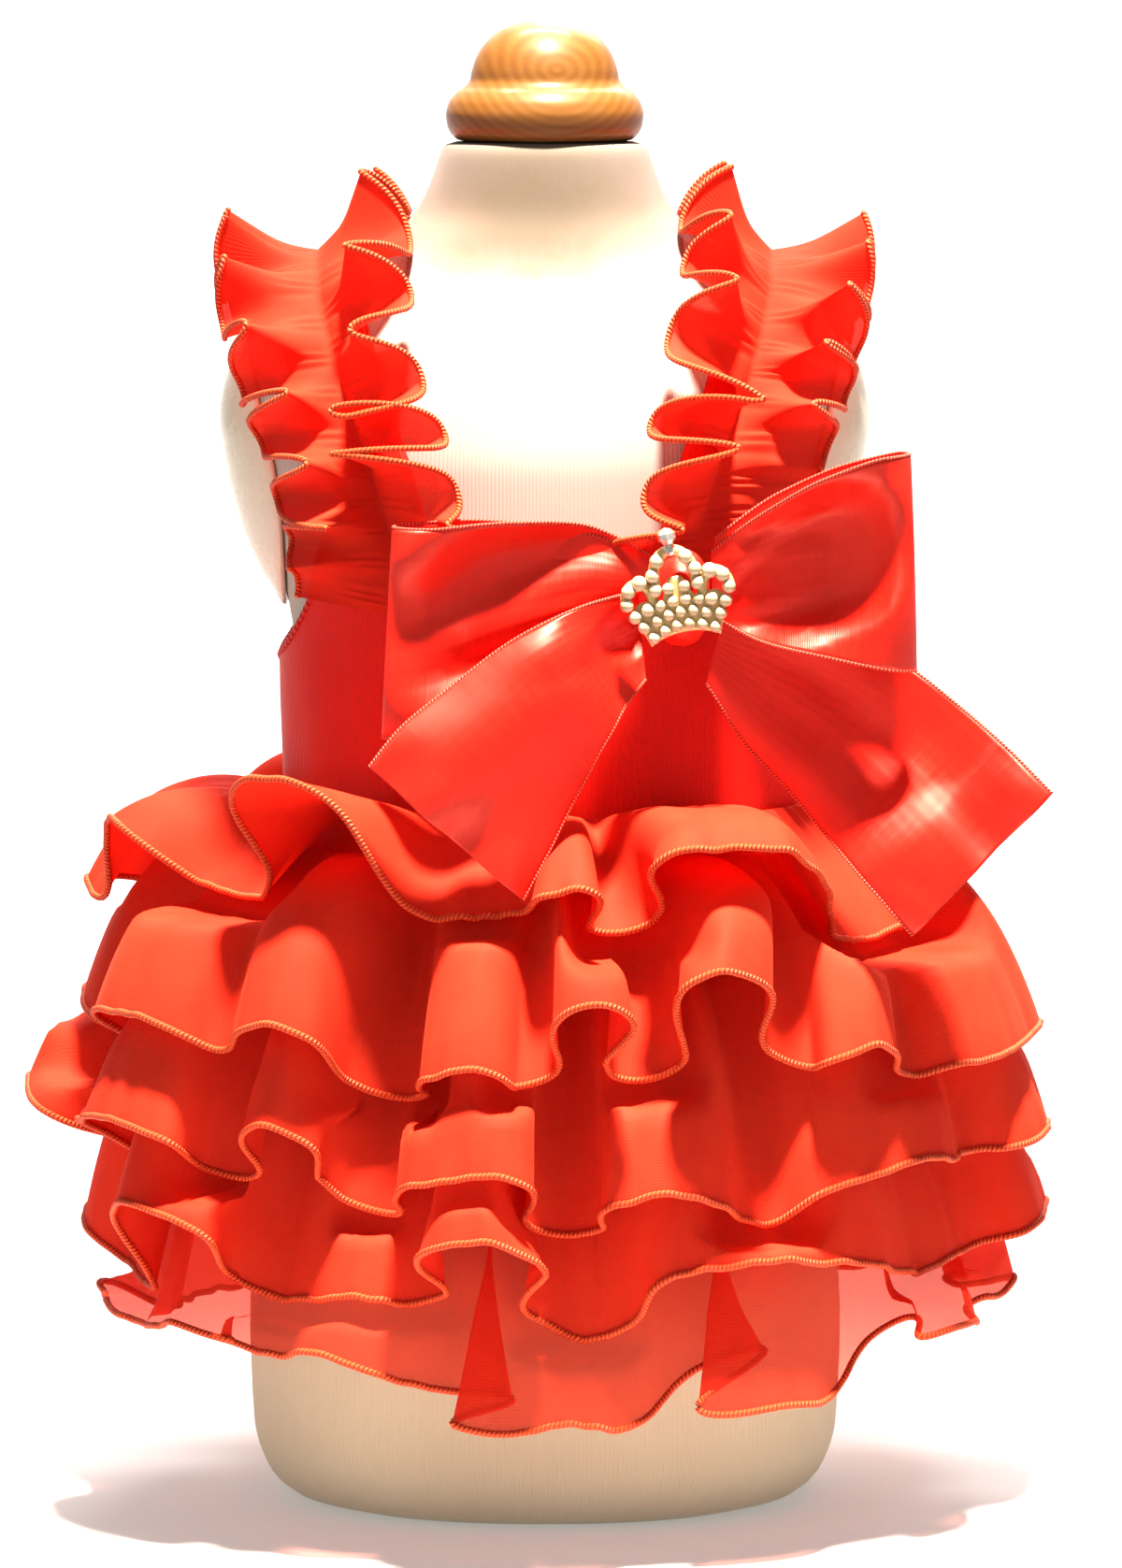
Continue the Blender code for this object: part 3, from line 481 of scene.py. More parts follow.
def unit(vectors):
    """Vectors at length 1."""
    return vectors / np.maximum(np.linalg.norm(vectors, axis=-1, keepdims=True), 1e-9)


def step_lengths(points):
    """Distances from each row of points to the next."""
    return np.linalg.norm(np.diff(points, axis=0), axis=-1)


def summed(lengths):
    """Distance run at each point, from the lengths of the steps between them."""
    return np.concatenate(([0], np.cumsum(lengths)))


TUBE_SIDES = 8


def edge_tube(path, radius, inward, closed=False):
    """Rings round a path, the first side facing inward, and texture places along and round.

    An open tube ends in points, so its ends are closed.
    """
    ahead = unit(np.gradient(path, axis=0))
    if closed:
        ahead[0] = ahead[-1] = unit(path[1] - path[-2])
    across = unit(inward - (inward * ahead).sum(-1, keepdims=True) * ahead)
    other = np.cross(ahead, across)
    angle = np.linspace(0, 2 * math.pi, TUBE_SIDES + 1)[None, :, None]
    thickness = np.full((len(path), 1, 1), radius)
    if not closed:
        path, across, other = (
            np.concatenate((way[:1], way, way[-1:])) for way in (path, across, other)
        )
        thickness = np.concatenate(([[[0.0]]], thickness, [[[0.0]]]))
    outward = np.cos(angle) * across[:, None] + np.sin(angle) * other[:, None]
    rings = path[:, None] + thickness * outward
    girth = np.linspace(0, 2 * math.pi * radius, TUBE_SIDES + 1)
    return rings, grid_uv(girth, summed(step_lengths(path)))[..., ::-1] / 1000


def add_edge(name, path, radius, inward, look, closed=False):
    """Binding, overlocking or picots along an edge, as a piece of its own."""
    rings, places = edge_tube(path, radius, inward, closed)
    return add_piece(name, rings, look, uv=places)


def thicken(piece, wall, offset=0.0):
    """Gives a piece a wall of so many millimetres."""
    solid = piece.modifiers.new("wall", "SOLIDIFY")
    solid.thickness, solid.offset = wall / 1000, offset


def bodice_radius(turn, height):
    """Radius of the bodice's middle layer: the form's, and the ease of the cloth."""
    side = table_curve(BODICE_EASE, 1, height)
    front = table_curve(BODICE_EASE, 2, height)
    return form_radius(turn, height) + front + (side - front) * np.sin(turn) ** 2


KNIT_WALL, KNIT_RUN = 0.8, 0.07  # mm, and metres of cloth for each radian round the body
DRAG, SLACK, BINDING_RADIUS = 0.35, 0.2, 0.9  # mm
turns = np.linspace(-math.pi, math.pi, 289)
from_end = np.degrees(np.minimum(np.abs(turns), math.pi - np.abs(turns)))
top = table_curve(TOP_EDGE, 1, from_end)
share = np.linspace(0, 1, 70)[:, None]
heights = YOKE_LOW + (top - YOKE_LOW) * share
# Soft upright drags where the gathered skirt and the bow pull at the cloth.
DRAG_TOP, DRAG_SPAN = 215, 60
drags = np.sin(turns * 17 + 0.8 * np.sin(turns * 5))
drags = drags * np.clip((DRAG_TOP - heights) / DRAG_SPAN, 0, 1)
radius = bodice_radius(turns[None, :], heights) + DRAG * drags + SLACK
tube = place(turns[None, :], radius, heights)
places = np.stack((turns * KNIT_RUN + 0 * heights, heights / 1000), axis=-1)
bodice = add_piece("bodice_cloth", tube, satin_knit, ["bodice"], places)
thicken(bodice, KNIT_WALL)
binding = thread_look("red_binding", (0.72, 0.02, 0.012), (0.5, 0.008, 0.006), 0.0024)
add_edge(
    "bodice_top_hem", tube[-1], BINDING_RADIUS, tube[-2] - tube[-1], binding,
    closed=True,
)


# Shoulder straps: two plain bands of the bodice cloth, lapped over its top edge in front and
# behind. A strap's middle: degrees round the shoulder from level front, distance from the form's
# middle.
STRAP_PATH = (
    (-8, 37), (12, 42), (40, 50), (66, 55), (90, 56), (114, 55), (140, 51), (168, 45), (188, 41),
)
SHOULDER_HEIGHT = 250.0
STRAP_WIDTH, STRAP_LENGTH = 20.0, 200.0
STRAP_EASE, STRAP_END_EASE = 2.2, 5.0
RAY_LENGTH, HALVINGS = 120.0, 34  # how far a ray is searched for the form, and in how many halvings


def over_shoulder(side, angle, across, ease):
    """Points on the form, met by rays that fan round the shoulder line, moved out by the ease."""
    near, far = 0 * (angle + across), 0 * (angle + across) + RAY_LENGTH
    for _ in range(HALVINGS):
        middle = (near + far) / 2
        height = SHOULDER_HEIGHT + middle * np.sin(angle)
        width, depth = form_halves(height)
        off = np.abs(middle * np.cos(angle)) / depth
        fill = (across / width) ** FORM_SQUARE + off**FORM_SQUARE
        inside = (fill < 1) & (height < FORM_SECTIONS[-1][0])
        near, far = np.where(inside, middle, near), np.where(inside, far, middle)
    radius = near + ease
    depth, height = -radius * np.cos(angle), SHOULDER_HEIGHT + radius * np.sin(angle)
    return np.stack((side * across, depth, height), axis=-1)


def smooth_step(share):
    """0 to 1 with level ends."""
    share = np.clip(share, 0, 1)
    return share * share * (3 - 2 * share)


def strap_line(share):
    """Degrees round the shoulder and distance from the middle, at shares of the strap's length."""
    first, last = STRAP_PATH[0][0], STRAP_PATH[-1][0]
    degrees = first + (last - first) * share
    return degrees, table_curve(STRAP_PATH, 1, degrees)


def strap_ease(degrees):
    """How far the strap's middle layer lies off the form: most at its ends, over the bodice."""
    from_end = np.minimum(degrees, 180 - degrees)
    return STRAP_EASE + (STRAP_END_EASE - STRAP_EASE) * smooth_step((26 - from_end) / 20)


share = np.linspace(0, 1, 120)
width = np.linspace(-0.5, 0.5, 12)[None, :] * STRAP_WIDTH
degrees, across = strap_line(share[:, None])
angle, ease = np.radians(degrees) + 0 * width, strap_ease(degrees)
for name, side in SIDES:
    band = over_shoulder(side, angle, across + width, ease)
    piece = add_piece(
        f"strap_band_{name}", band, satin_knit, [f"strap_{name}"],
        grid_uv(width[0] / 1000, share * STRAP_LENGTH / 1000), order=side,
    )
    thicken(piece, KNIT_WALL)


# Strap ruffles: on each strap one straight strip of chiffon, gathered down its middle by a line of
# stitching, with both long edges overlocked in orange thread.
KNIT, CLOTH, GAP = 1.4, 1.1, 0.3  # walls and air that the layers are spaced for
RUFFLE_WIDTH = 49.0
RUFFLE_LENGTH = 0.30  # of the cut strip, in metres
RUFFLE_WAVES = 12
RUFFLE_STAND, RUFFLE_SWING = 50.0, 54.0  # degrees that a half stands off the shoulder, and swings
RUFFLE_LEAST, LEAST_SWING = 6.0, 7.0  # the same where it lies low
# Degrees that a half stands lower on top of the shoulder, and the share of its swing lost there.
TOP_DROP, TOP_CALM = {-1: 42.0, 1: 18.0}, 0.4
RUFFLE_SLIDE = 3.0  # mm that an edge's waves lean to and fro along the strap, so they overhang
RUFFLE_OFF, RUFFLE_EDGE = 1.2, 0.75  # mm that the cloth keeps off the form, radius of its edges
FINE_RISE, FINE_SLIDE = 2.4, 1.2  # mm that the gathers by the seam stand out and lean
WEAVE_RUN = 1.6  # the weave's scale along the strip, whose waved edges run longer than its seam
RUFFLE_STARTS = (-0.1, -0.045)  # share of the strap's length where the left and right ruffle start
# Degrees round the shoulder below which a half lies low under the bow, by side of the body.
OUTER_LAY, INNER_LAY, LAY_SPAN = {-1: -20.0, 1: 8.0}, {-1: -6.0, 1: -10.0}, 14.0


def sheer_look(name, open_share):
    """Red chiffon: crinkled and matt, lit through, and showing a share of what is behind."""
    look, tree = new_material(name)
    tone = blotchy(tree, 30.0, (0.70, 0.044, 0.019), (0.78, 0.070, 0.031))
    threads = placed(tree, weave, Threads=1900.0, Cross=1900.0)
    lit = node(tree, "ShaderNodeBsdfPrincipled", {
        "Base Color": mixed(tree, threads, mixed(tree, 0.25, tone, (0.45, 0.006, 0.003)), tone),
        "Roughness": 0.7, "Specular IOR Level": 0.12, "Sheen Weight": 0.08,
        "Sheen Roughness": 0.35, "Sheen Tint": (1.0, 0.42, 0.22),
        "Normal": bumped(tree, threads, 0.35, 0.0002),
    })
    through = node(tree, "ShaderNodeBsdfTranslucent", {"Color": (0.9, 0.014, 0.005)})
    cloth = node(tree, "ShaderNodeMixShader", {0: 0.2, 1: lit.outputs[0], 2: through.outputs[0]})
    clear = node(tree, "ShaderNodeBsdfTransparent", {"Color": (1.0, 0.36, 0.3)})
    layers = {0: open_share, 1: cloth.outputs[0], 2: clear.outputs[0]}
    surface(tree, layers, "ShaderNodeMixShader")
    return look


chiffon = sheer_look("red_chiffon", 0.1)
overlock = thread_look("orange_overlock", (0.82, 0.11, 0.018), (0.58, 0.036, 0.009), 0.0011)


def ruffle_frame(side, share):
    """A ruffle's seam, and the ways along the strap, away from the neck and off the form."""
    degrees, across = strap_line(share)
    angle, ease = np.radians(degrees), strap_ease(degrees) + KNIT / 2 + GAP + CLOTH
    seat = over_shoulder(side, angle, across, ease)
    along = unit(np.gradient(seat, axis=0))
    slope = STRAP_WIDTH / 4
    edges = [over_shoulder(side, angle, across + way * slope, ease) for way in (-1, 1)]
    away = unit(edges[1] - edges[0])
    return degrees, seat, along, away, unit(np.cross(along, away)) * -side


def ruffle_half(side, way, share, out):
    """Half a ruffle from its seam to its edge. A row turns off the strap by its stand and its wave.

    The wave is the hyperbolic tangent of a sine, unevenly spaced, and grows with the distance out;
    close to the seam lie the fine gathers that the stitching draws up.
    """
    degrees, seat, along, away, off = ruffle_frame(side, share)
    turn = 2 * math.pi * share[:, None]
    lead = 0.9 * way * side
    wander = np.sin(2.3 * turn + side + way) + 0.5 * np.sin(5.3 * turn - 2 * way)
    phase = RUFFLE_WAVES * turn + lead + wander
    size = 0.84 + 0.2 * np.sin(3.7 * turn + 2.1 * way - side)
    wave = size * np.tanh(1.1 * np.sin(phase)) / math.tanh(1.1)
    lay_low = (OUTER_LAY if way > 0 else INNER_LAY)[side]
    free = smooth_step((np.minimum(degrees, 180 - degrees)[:, None] - lay_low) / LAY_SPAN)
    top = np.sin(np.radians(degrees))[:, None] ** 2
    swing = LEAST_SWING + (RUFFLE_SWING * (1 - TOP_CALM * top) - LEAST_SWING) * free
    stand = RUFFLE_LEAST + (RUFFLE_STAND - TOP_DROP[way] * top - RUFFLE_LEAST) * free
    tilt = np.radians(stand + swing * wave * smooth_step(1.25 * out + 0.12))
    step = RUFFLE_WIDTH / 2 * np.diff(out, prepend=0.0)
    flat, raised = np.cumsum(step * np.cos(tilt), axis=1), np.cumsum(step * np.sin(tilt), axis=1)
    fine = np.sin(5 * phase + 2 * np.sin(1.7 * phase)) * out * np.maximum(1 - 1.5 * out, 0) ** 2
    raised = raised + FINE_RISE * fine
    slide = RUFFLE_SLIDE * out**2 * np.cos(phase) * (0.3 + 0.7 * free) * size + FINE_SLIDE * fine
    points = (
        seat[:, None]
        + way * flat[..., None] * away[:, None]
        + raised[..., None] * off[:, None]
        + slide[..., None] * along[:, None]
    )
    # What would sink into the form lies on it.
    angle = np.arctan2(points[..., 0], -points[..., 1])
    reach, height = np.hypot(points[..., 0], points[..., 1]), points[..., 2]
    return place(angle, np.maximum(reach, form_radius(angle, height) + RUFFLE_OFF), height)


def edge_pair(names, strip, radius, look):
    """Thread along both long edges of a strip, as two pieces."""
    return [
        add_edge(name, strip[:, edge], radius, strip[:, inner] - strip[:, edge], look)
        for name, edge, inner in zip(names, (0, -1), (1, -2))
    ]


out = np.linspace(0, 1, 17)[None, :]
for (name, side), start in zip(SIDES, RUFFLE_STARTS):
    share = np.linspace(start, 0.99, 660)
    halves = [ruffle_half(side, way, share, out) for way in (-1, 1)]
    strip = np.concatenate((halves[0][:, ::-1], halves[1][:, 1:]), axis=1)
    width = np.concatenate((-out[0, ::-1], out[0, 1:])) * RUFFLE_WIDTH / 2000
    piece = add_piece(
        f"ruffle_{name}", strip, chiffon, [f"strap_ruffle_{name}"],
        grid_uv(width, share * RUFFLE_LENGTH * WEAVE_RUN),
    )
    names = [f"ruffle_{name}_{edge}_edge" for edge in ("neck", "arm")]
    edges = edge_pair(names, strip, RUFFLE_EDGE, overlock)


# Skirt: five strips of chiffon, each joined into a ring, gathered along its top and sewn to the
# yoke, so it springs out and falls in flutes. Every hem is overlocked in orange thread.
WAIST_WIDTH, WAIST_DEPTH = 66.0, 52.0  # half sizes of the oblong that skirt reach is measured from
WAIST_HEIGHT = 178.0
ROOT_HEIGHTS = (176.0, 166.0, 149.0, 130.0, 110.0)  # the rows that the tiers are sewn in
LAYER_GAP = 5.0  # least gap between one tier and the next, across the slope
YOKE_GAP = 0.9
FOLD_MARGIN = 3.6  # degrees to each side over which a tier keeps under the one above
HEM_MARGIN = 3.0  # how far past the upper tier's hem a tier starts to rise again
LEAN_START, LEAN_REACH = 40.0, 45.0  # reach from which a fold leans, and where its lean is nothing
# Each skirt fold: turns where its crest starts and ends at the hem, turn of the dip after it,
# height and reach of the hem at the crest, height and reach of the hem in the dip, and how far the
# fold leans round the skirt, in degrees for each mm of reach.
TIER_FOLDS = (
    (
        (-102, -91, -86, 152, 48, 149, 41, 0), (-79, -73, -62, 173, 43, 157, 25, 0),
        (-43, -32, -20, 189, 47, 156, 30, 0.05), (1, 8, 11.5, 165, 44, 145, 24, 0),
        (15, 32, 54, 174, 49, 146, 26, -0.25), (78, 94, 106, 166, 42, 152, 26, 0),
    ),
    (
        (-112, -97, -88, 122, 52, 108, 24, 0), (-66, -51, -45, 130, 55, 121, 44, 0.1),
        (-39, -33, -23, 132, 54, 110, 25, 0.1), (-14, -5, -0.5, 122, 49, 114, 35, 0),
        (4.5, 9, 14.5, 140, 59, 111, 31, 0), (18.5, 27, 34, 146, 59, 115, 34, -0.35),
        (39.5, 47, 54, 125, 54, 114, 42, -0.3), (68, 90, 100, 119, 56, 108, 28, 0),
    ),
    (
        (-106, -92, -82, 100, 64, 82, 25, 0), (-66, -52, -46.5, 104, 58, 88, 33, 0.1),
        (-39, -33, -28, 107, 52, 80, 24, 0), (-13, -3, 3, 98, 54, 76, 28, 0),
        (9.5, 22, 33, 92, 50, 81, 38, -0.25), (45, 60, 67, 95, 51, 93, 44, -0.15),
        (74, 88, 100, 95, 59, 82, 30, 0),
    ),
    (
        (-112, -98, -84, 66, 52, 57, 36, 0), (-60, -49, -44.5, 84, 56, 60, 31, 0.15),
        (-33, -26, -19, 65, 37, 62, 28, 0), (-12, -3.5, 1, 83, 57, 58, 31, -0.1),
        (5, 9, 13, 56, 34, 62, 40, -0.1), (17.5, 42, 60, 74, 47, 65, 40, -0.3),
        (80, 96, 108, 72, 58, 62, 30, 0),
    ),
    (
        (-92, -72, -66, 53, 46, 49, 40, 0), (-59, -51, -47, 54, 47, 51, 38, 0.1),
        (-40, -30, -13, 51, 42, 42, 35, 0), (-5, 11, 25, 36, 42, 53, 34, 0),
        (31, 39, 54, 39, 43, 55, 37, 0), (60, 67, 73, 52, 49, 53, 41, 0),
        (79, 88, 98, 55, 50, 49, 34, 0),
    ),
)
# Where the lowest tier's hem doubles back: turn, half width, degrees it goes back each way, mm that
# it stands forward after it.
PLEATS = ((-48, 2.0, 3.2, 1.5), (-9, 2.4, 6.2, 2.5), (28, 2.6, 8.6, 3.0), (57, 2.4, 4.6, 2.0))
# The hidden folds round the back: how many, mean crest and its reach, mean dip and its reach.
BACK_FOLDS = (
    (4, 168, 45, 150, 24), (5, 127, 53, 110, 24), (5, 99, 57, 81, 25), (5, 76, 57, 60, 25),
    (4, 50, 50, 42, 27),
)
BACK_START, BACK_END = 114.0, 242.0
CREST_RISE = (12.0, 10.0, 8.0, 7.0, 5.0)  # how far a crest arches over the straight line
FOLD_SIDE = 5.0  # degrees over which a dip climbs to the next crest
CORNER = 1.5  # degrees over which the hem's corners are rounded
# How far crests swell over dips, for each mm that a side climbs in a degree, and at most.
OVERHANG, MOST_OVERHANG = 0.9, 3.4
# In mm: soft waves down a tier, gathers at its root, small waves in its hem, and its overlocking.
RIPPLE, GATHER, FLUTTER, HEM_RADIUS = 1.2, 0.9, 0.25, 0.85
CREST_FROM, CREST_SPAN = 26, 24  # reach from which a fold is a crest, and how far on it is full
CREST_BLUR, CREST_OVER = 12, 9  # degrees that a mean reach is taken over, mm past it at a crest


def fold_table(tier):
    """A tier's folds as columns, with its crests' turns led back upright from their lean."""
    folds = np.array(TIER_FOLDS[tier] + tuple(back_folds(tier))).T
    left, right, dip_turn, crest, out, dip, inward, lean = folds
    shift = lean * (out - LEAN_REACH)
    return left - shift, right - shift, dip_turn, crest, out, dip, inward, lean


def back_folds(tier):
    """The even folds round the hidden back of a tier, each a little unlike the last."""
    count, crest, out, dip, inward = BACK_FOLDS[tier]
    pitch = (BACK_END - BACK_START) / count
    for index in range(count):
        wander = math.sin(2.4 * index + 1.3 * tier)
        left = BACK_START + (index + 0.12 * wander) * pitch
        right = left + (0.42 + 0.06 * wander) * pitch
        yield (
            left, right, right + 0.26 * pitch, crest + 3 * wander, out + 2 * wander,
            dip - 2 * wander, inward - 2 * wander, 0,
        )


def lean_shift(tier, turns, reach):
    """Degrees that a point at this reach is moved round the skirt by the lean of its fold."""
    start, end, *_, lean = fold_table(tier)
    lean = round_curve(np.stack((start, end), 1).ravel(), np.repeat(lean, 2), turns)
    return lean * (np.maximum(reach, LEAN_START) - LEAN_REACH)


def softened(ring, corner=CORNER):
    """Values all round the skirt, their corners rounded by a bell curve, corner degrees wide."""
    waves = np.fft.rfftfreq(ring.size, 1 / ring.size)
    bell = np.exp(-2 * (math.pi * waves * corner / 360) ** 2)
    return np.fft.irfft(np.fft.rfft(ring) * bell, ring.size)


def hem(tier, turns):
    """Height and reach of a tier's hem at upright turns, before its folds lean."""
    start, end, dip_turn, crest, out, dip, inward, _ = fold_table(tier)
    foot = np.roll(start, -1) % 360 - FOLD_SIDE
    foot = np.where((foot - dip_turn) % 360 > 2 * FOLD_SIDE, foot, dip_turn + 0.01)
    seats = np.stack((start, (start + end) / 2, end, dip_turn, foot), 1)
    heights = np.stack((crest - 1, crest + 1, crest - 1, dip, dip + 1), 1)
    reaches = np.stack((out, out + 1, out, inward, inward + 1), 1)
    seats = seats.ravel()
    return [softened(round_curve(seats, values.ravel(), turns)) for values in (heights, reaches)]


def pleat_shift(turns, shares):
    """Degrees that the pleats move the lowest tier's points round, and mm that they stand out."""
    shift, out = 0.0, 0.0
    for turn, half, back, forward in PLEATS:
        off = (turns - turn) / half
        shift = shift - back * off * np.exp((1 - off**2) / 2)
        out = out + forward * np.tanh(off) * np.exp(-((off / 5) ** 2))
    grown = shares[:, None] ** 1.5
    return shift * grown, out * grown


def least_reach(tier, height):
    """How close to the yoke's widest a tier may lie, as reach past the waist oblong.

    It lies a layer further out for each tier that is rooted above the height.
    """
    wider, deeper = (
        half + table_curve(BODICE_EASE, column, height) - waist
        for column, half, waist in zip((1, 2), form_halves(height), (WAIST_WIDTH, WAIST_DEPTH))
    )
    yoke = np.maximum(wider, deeper) + KNIT / 2
    roots = np.array(ROOT_HEIGHTS[tier:])
    layers = np.interp(-height, -roots, np.arange(len(roots)))
    return yoke + YOKE_GAP + CLOTH / 2 + LAYER_GAP * layers


def slope_frame(reach, height):
    """Distance along and above a line that falls outwards at 45 degrees from the waist."""
    drop = WAIST_HEIGHT - height
    return (reach + drop) / math.sqrt(2), (reach - drop) / math.sqrt(2)


def from_slope(along, above):
    """Reach and height from distances along and above the slope."""
    return (along + above) / math.sqrt(2), WAIST_HEIGHT - (along - above) / math.sqrt(2)


def tier_ends(tier, turns):
    """Along and above of a tier's root, middle control point and hem at each turn."""
    hem_height, hem_reach = hem(tier, turns)
    top = ROOT_HEIGHTS[tier]
    start = least_reach(tier, np.array(top))
    crest = np.clip((hem_reach - CREST_FROM) / CREST_SPAN, 0, 1)
    arch = top + CREST_RISE[tier] * crest - 0.3 * (1 - crest) * (top - hem_height)
    root = slope_frame(start + 0 * hem_reach, top)
    middle = slope_frame(start + (0.4 + 0.28 * crest) * (hem_reach - start), arch)
    return root, middle, slope_frame(hem_reach, hem_height)


def arc_above(ends, along):
    """Height above the slope of the arc from root to hem that its middle point draws out."""
    root, middle, end = ends
    bend = root[0] - 2 * middle[0] + end[0]
    rise = 2 * (middle[0] - root[0])
    ahead = np.maximum(along - root[0], 0)
    share = 2 * ahead / (rise + np.sqrt(np.maximum(rise**2 + 4 * bend * ahead, 1e-6)))
    return (1 - share) ** 2 * root[1] + 2 * share * (1 - share) * middle[1] + share**2 * end[1]


def below_upper(upper, along):
    """The height above the slope that the upper tier leaves free; past its hem it rises again."""
    upper_along, upper_above = upper
    free = upper_above[0] - LAYER_GAP
    for row in range(len(upper_along) - 1):
        step = upper_along[row + 1] - upper_along[row]
        passed = np.clip((along - upper_along[row]) / step, 0, 1)
        free = free + passed * (upper_above[row + 1] - upper_above[row])
    return free + np.maximum(along - upper_along[-1] - HEM_MARGIN, 0)


def at_turns(upper, wanted):
    """A tier's rows along and above the slope, read at the turns where they are seen."""
    along, above, seen = upper
    wide = np.maximum.accumulate(np.concatenate((seen - 360, seen, seen + 360), axis=1), axis=1)
    return [
        np.array([np.interp(wanted, at, np.tile(row, 3)) for at, row in zip(wide, rows)])
        for rows in (along, above)
    ]


def kept_under(upper, seen, along):
    """The height above the slope that the upper tier leaves free here and to both sides."""
    sides = np.linspace(-FOLD_MARGIN, FOLD_MARGIN, 5)
    return np.array([
        np.min([below_upper(at_turns(upper, wanted + side), row) for side in sides], axis=0)
        for wanted, row in zip(seen, along)
    ])


def soft_least(one, other, blend=0.8):
    """The lesser of two values, rounded where they meet."""
    gap = np.abs(one - other) / blend
    return np.minimum(one, other) - blend * np.log1p(np.exp(-gap))


def tier_rows(ends, hems, shares):
    """Distances along the slope from root to hem, with rows under the hems of the tiers above."""
    first, last = ends[0][0], ends[2][0]
    span = last - first
    fourth, third, second = (
        np.clip(hem, first + low * span, last - high * span)
        for hem, low, high in zip(hems, (0.64, 0.38, 0.12), (0.14, 0.4, 0.66))
    )
    stops = (first, second, third, fourth, last)
    steps = np.clip(shares[:, None] * 4 - np.arange(4), 0, 1)
    return first + sum(steps[:, [i]] * (stops[i + 1] - stops[i]) for i in range(4))


def lay_tier(tier, turns, shares, uppers):
    """A tier's rows along and above the slope, under the tier above, and their leaned turns."""
    ends = tier_ends(tier, turns)
    seen = turns + lean_shift(tier, turns, from_slope(*ends[2])[0])
    even = [ends[0][0] + share * (ends[2][0] - ends[0][0]) for share in (0.75, 0.5, 0.25)]
    hems = [at_turns(upper, seen)[0][-1] + HEM_MARGIN / 3 for upper in reversed(uppers[-3:])]
    along = tier_rows(ends, hems + even[len(hems):], shares)
    above = arc_above(ends, along)
    seen = turns + lean_shift(tier, turns, from_slope(along, above)[0])
    if uppers:
        above = soft_least(above, kept_under(uppers[-1], seen, along))
    floor = least_reach(tier, WAIST_HEIGHT - math.sqrt(2) * along)
    floor = least_reach(tier, WAIST_HEIGHT - math.sqrt(2) * along + floor)
    reach = from_slope(*ends[2])[0]
    steep = (np.roll(reach, -1) - np.roll(reach, 1)) * reach.size / 720
    crest = np.clip((reach - softened(reach, CREST_BLUR)) / CREST_OVER, -1, 1)
    swell = -np.clip(OVERHANG * steep * crest, -MOST_OVERHANG, MOST_OVERHANG) * shares[:, None] ** 2
    above = np.maximum(above, math.sqrt(2) * floor - along)
    return along, np.array([softened(row, 0.9) for row in above]), seen + swell


def ripples(tier, turns, shares):
    """Mm that a tier's middle layer stands out: soft waves downwards, fine gathers at its root."""
    turns, shares = np.radians(turns), shares[:, None]
    waves = (
        np.sin(19 * turns + 2.1 * tier + 1.5 * shares)
        + 0.8 * np.sin(31 * turns + 4.0 * tier - 1.2 * shares)
        + 0.5 * np.sin(53 * turns + 1.3 * tier + 0.8 * shares)
    ) / 2
    gathers = np.sin(84 * turns + 2.5 * np.sin(11 * turns + tier)) * np.exp(-shares / 0.16)
    flutter = (
        np.sin(61 * turns + 3 * np.sin(7 * turns + tier))
        + 0.6 * np.sin(97 * turns + 2 * np.sin(5 * turns))
    )
    gathers = gathers + FLUTTER / GATHER * tier * flutter * shares**7
    waves = RIPPLE * waves * shares * (1.3 - 0.5 * shares)
    return waves + GATHER * gathers * np.minimum(shares / 0.04, 1) / tier


def skirt_sheets(turns, shares):
    """Points of each tier's middle layer, a row for each share of the way from root to hem."""
    laid = []
    for tier in range(len(TIER_FOLDS)):
        laid.append(lay_tier(tier, turns, shares, laid))
        along, above, seen = laid[-1]
        reach, height = from_slope(along, above + ripples(tier + 1, turns, shares))
        if tier == len(TIER_FOLDS) - 1:
            shift, out = pleat_shift(turns, shares)
            seen, reach = seen + shift, reach + out
        leaned = np.radians(seen)
        yield place(leaned, oblong(leaned, WAIST_WIDTH, WAIST_DEPTH) + reach, height)


turns = np.linspace(-180, 180, 1081)
shares = np.linspace(0, 1, 33)
# The upper tiers lie over one another, so nothing shows through. The lowest hangs free and is
# sheer.
layered_chiffon = sheer_look("red_chiffon_layered", 0.0)
last_chiffon = sheer_look("red_chiffon_single", 0.42)
for tier, points in enumerate(skirt_sheets(turns[:-1], shares), start=1):
    points = np.concatenate((points, points[:, :1]), axis=1)
    down = summed(step_lengths(points).mean(axis=1)) / 1000
    look = last_chiffon if tier == len(ROOT_HEIGHTS) else layered_chiffon
    piece = add_piece(
        f"tier_{tier}", points, look, [f"skirt_tier_{tier}"],
        grid_uv(summed(step_lengths(points[-1])) / 1000, down), order=-1,
    )
    hem_edge = add_edge(
        f"tier_{tier}_hem", points[-1], HEM_RADIUS, points[-2] - points[-1], overlock,
        closed=True,
    )


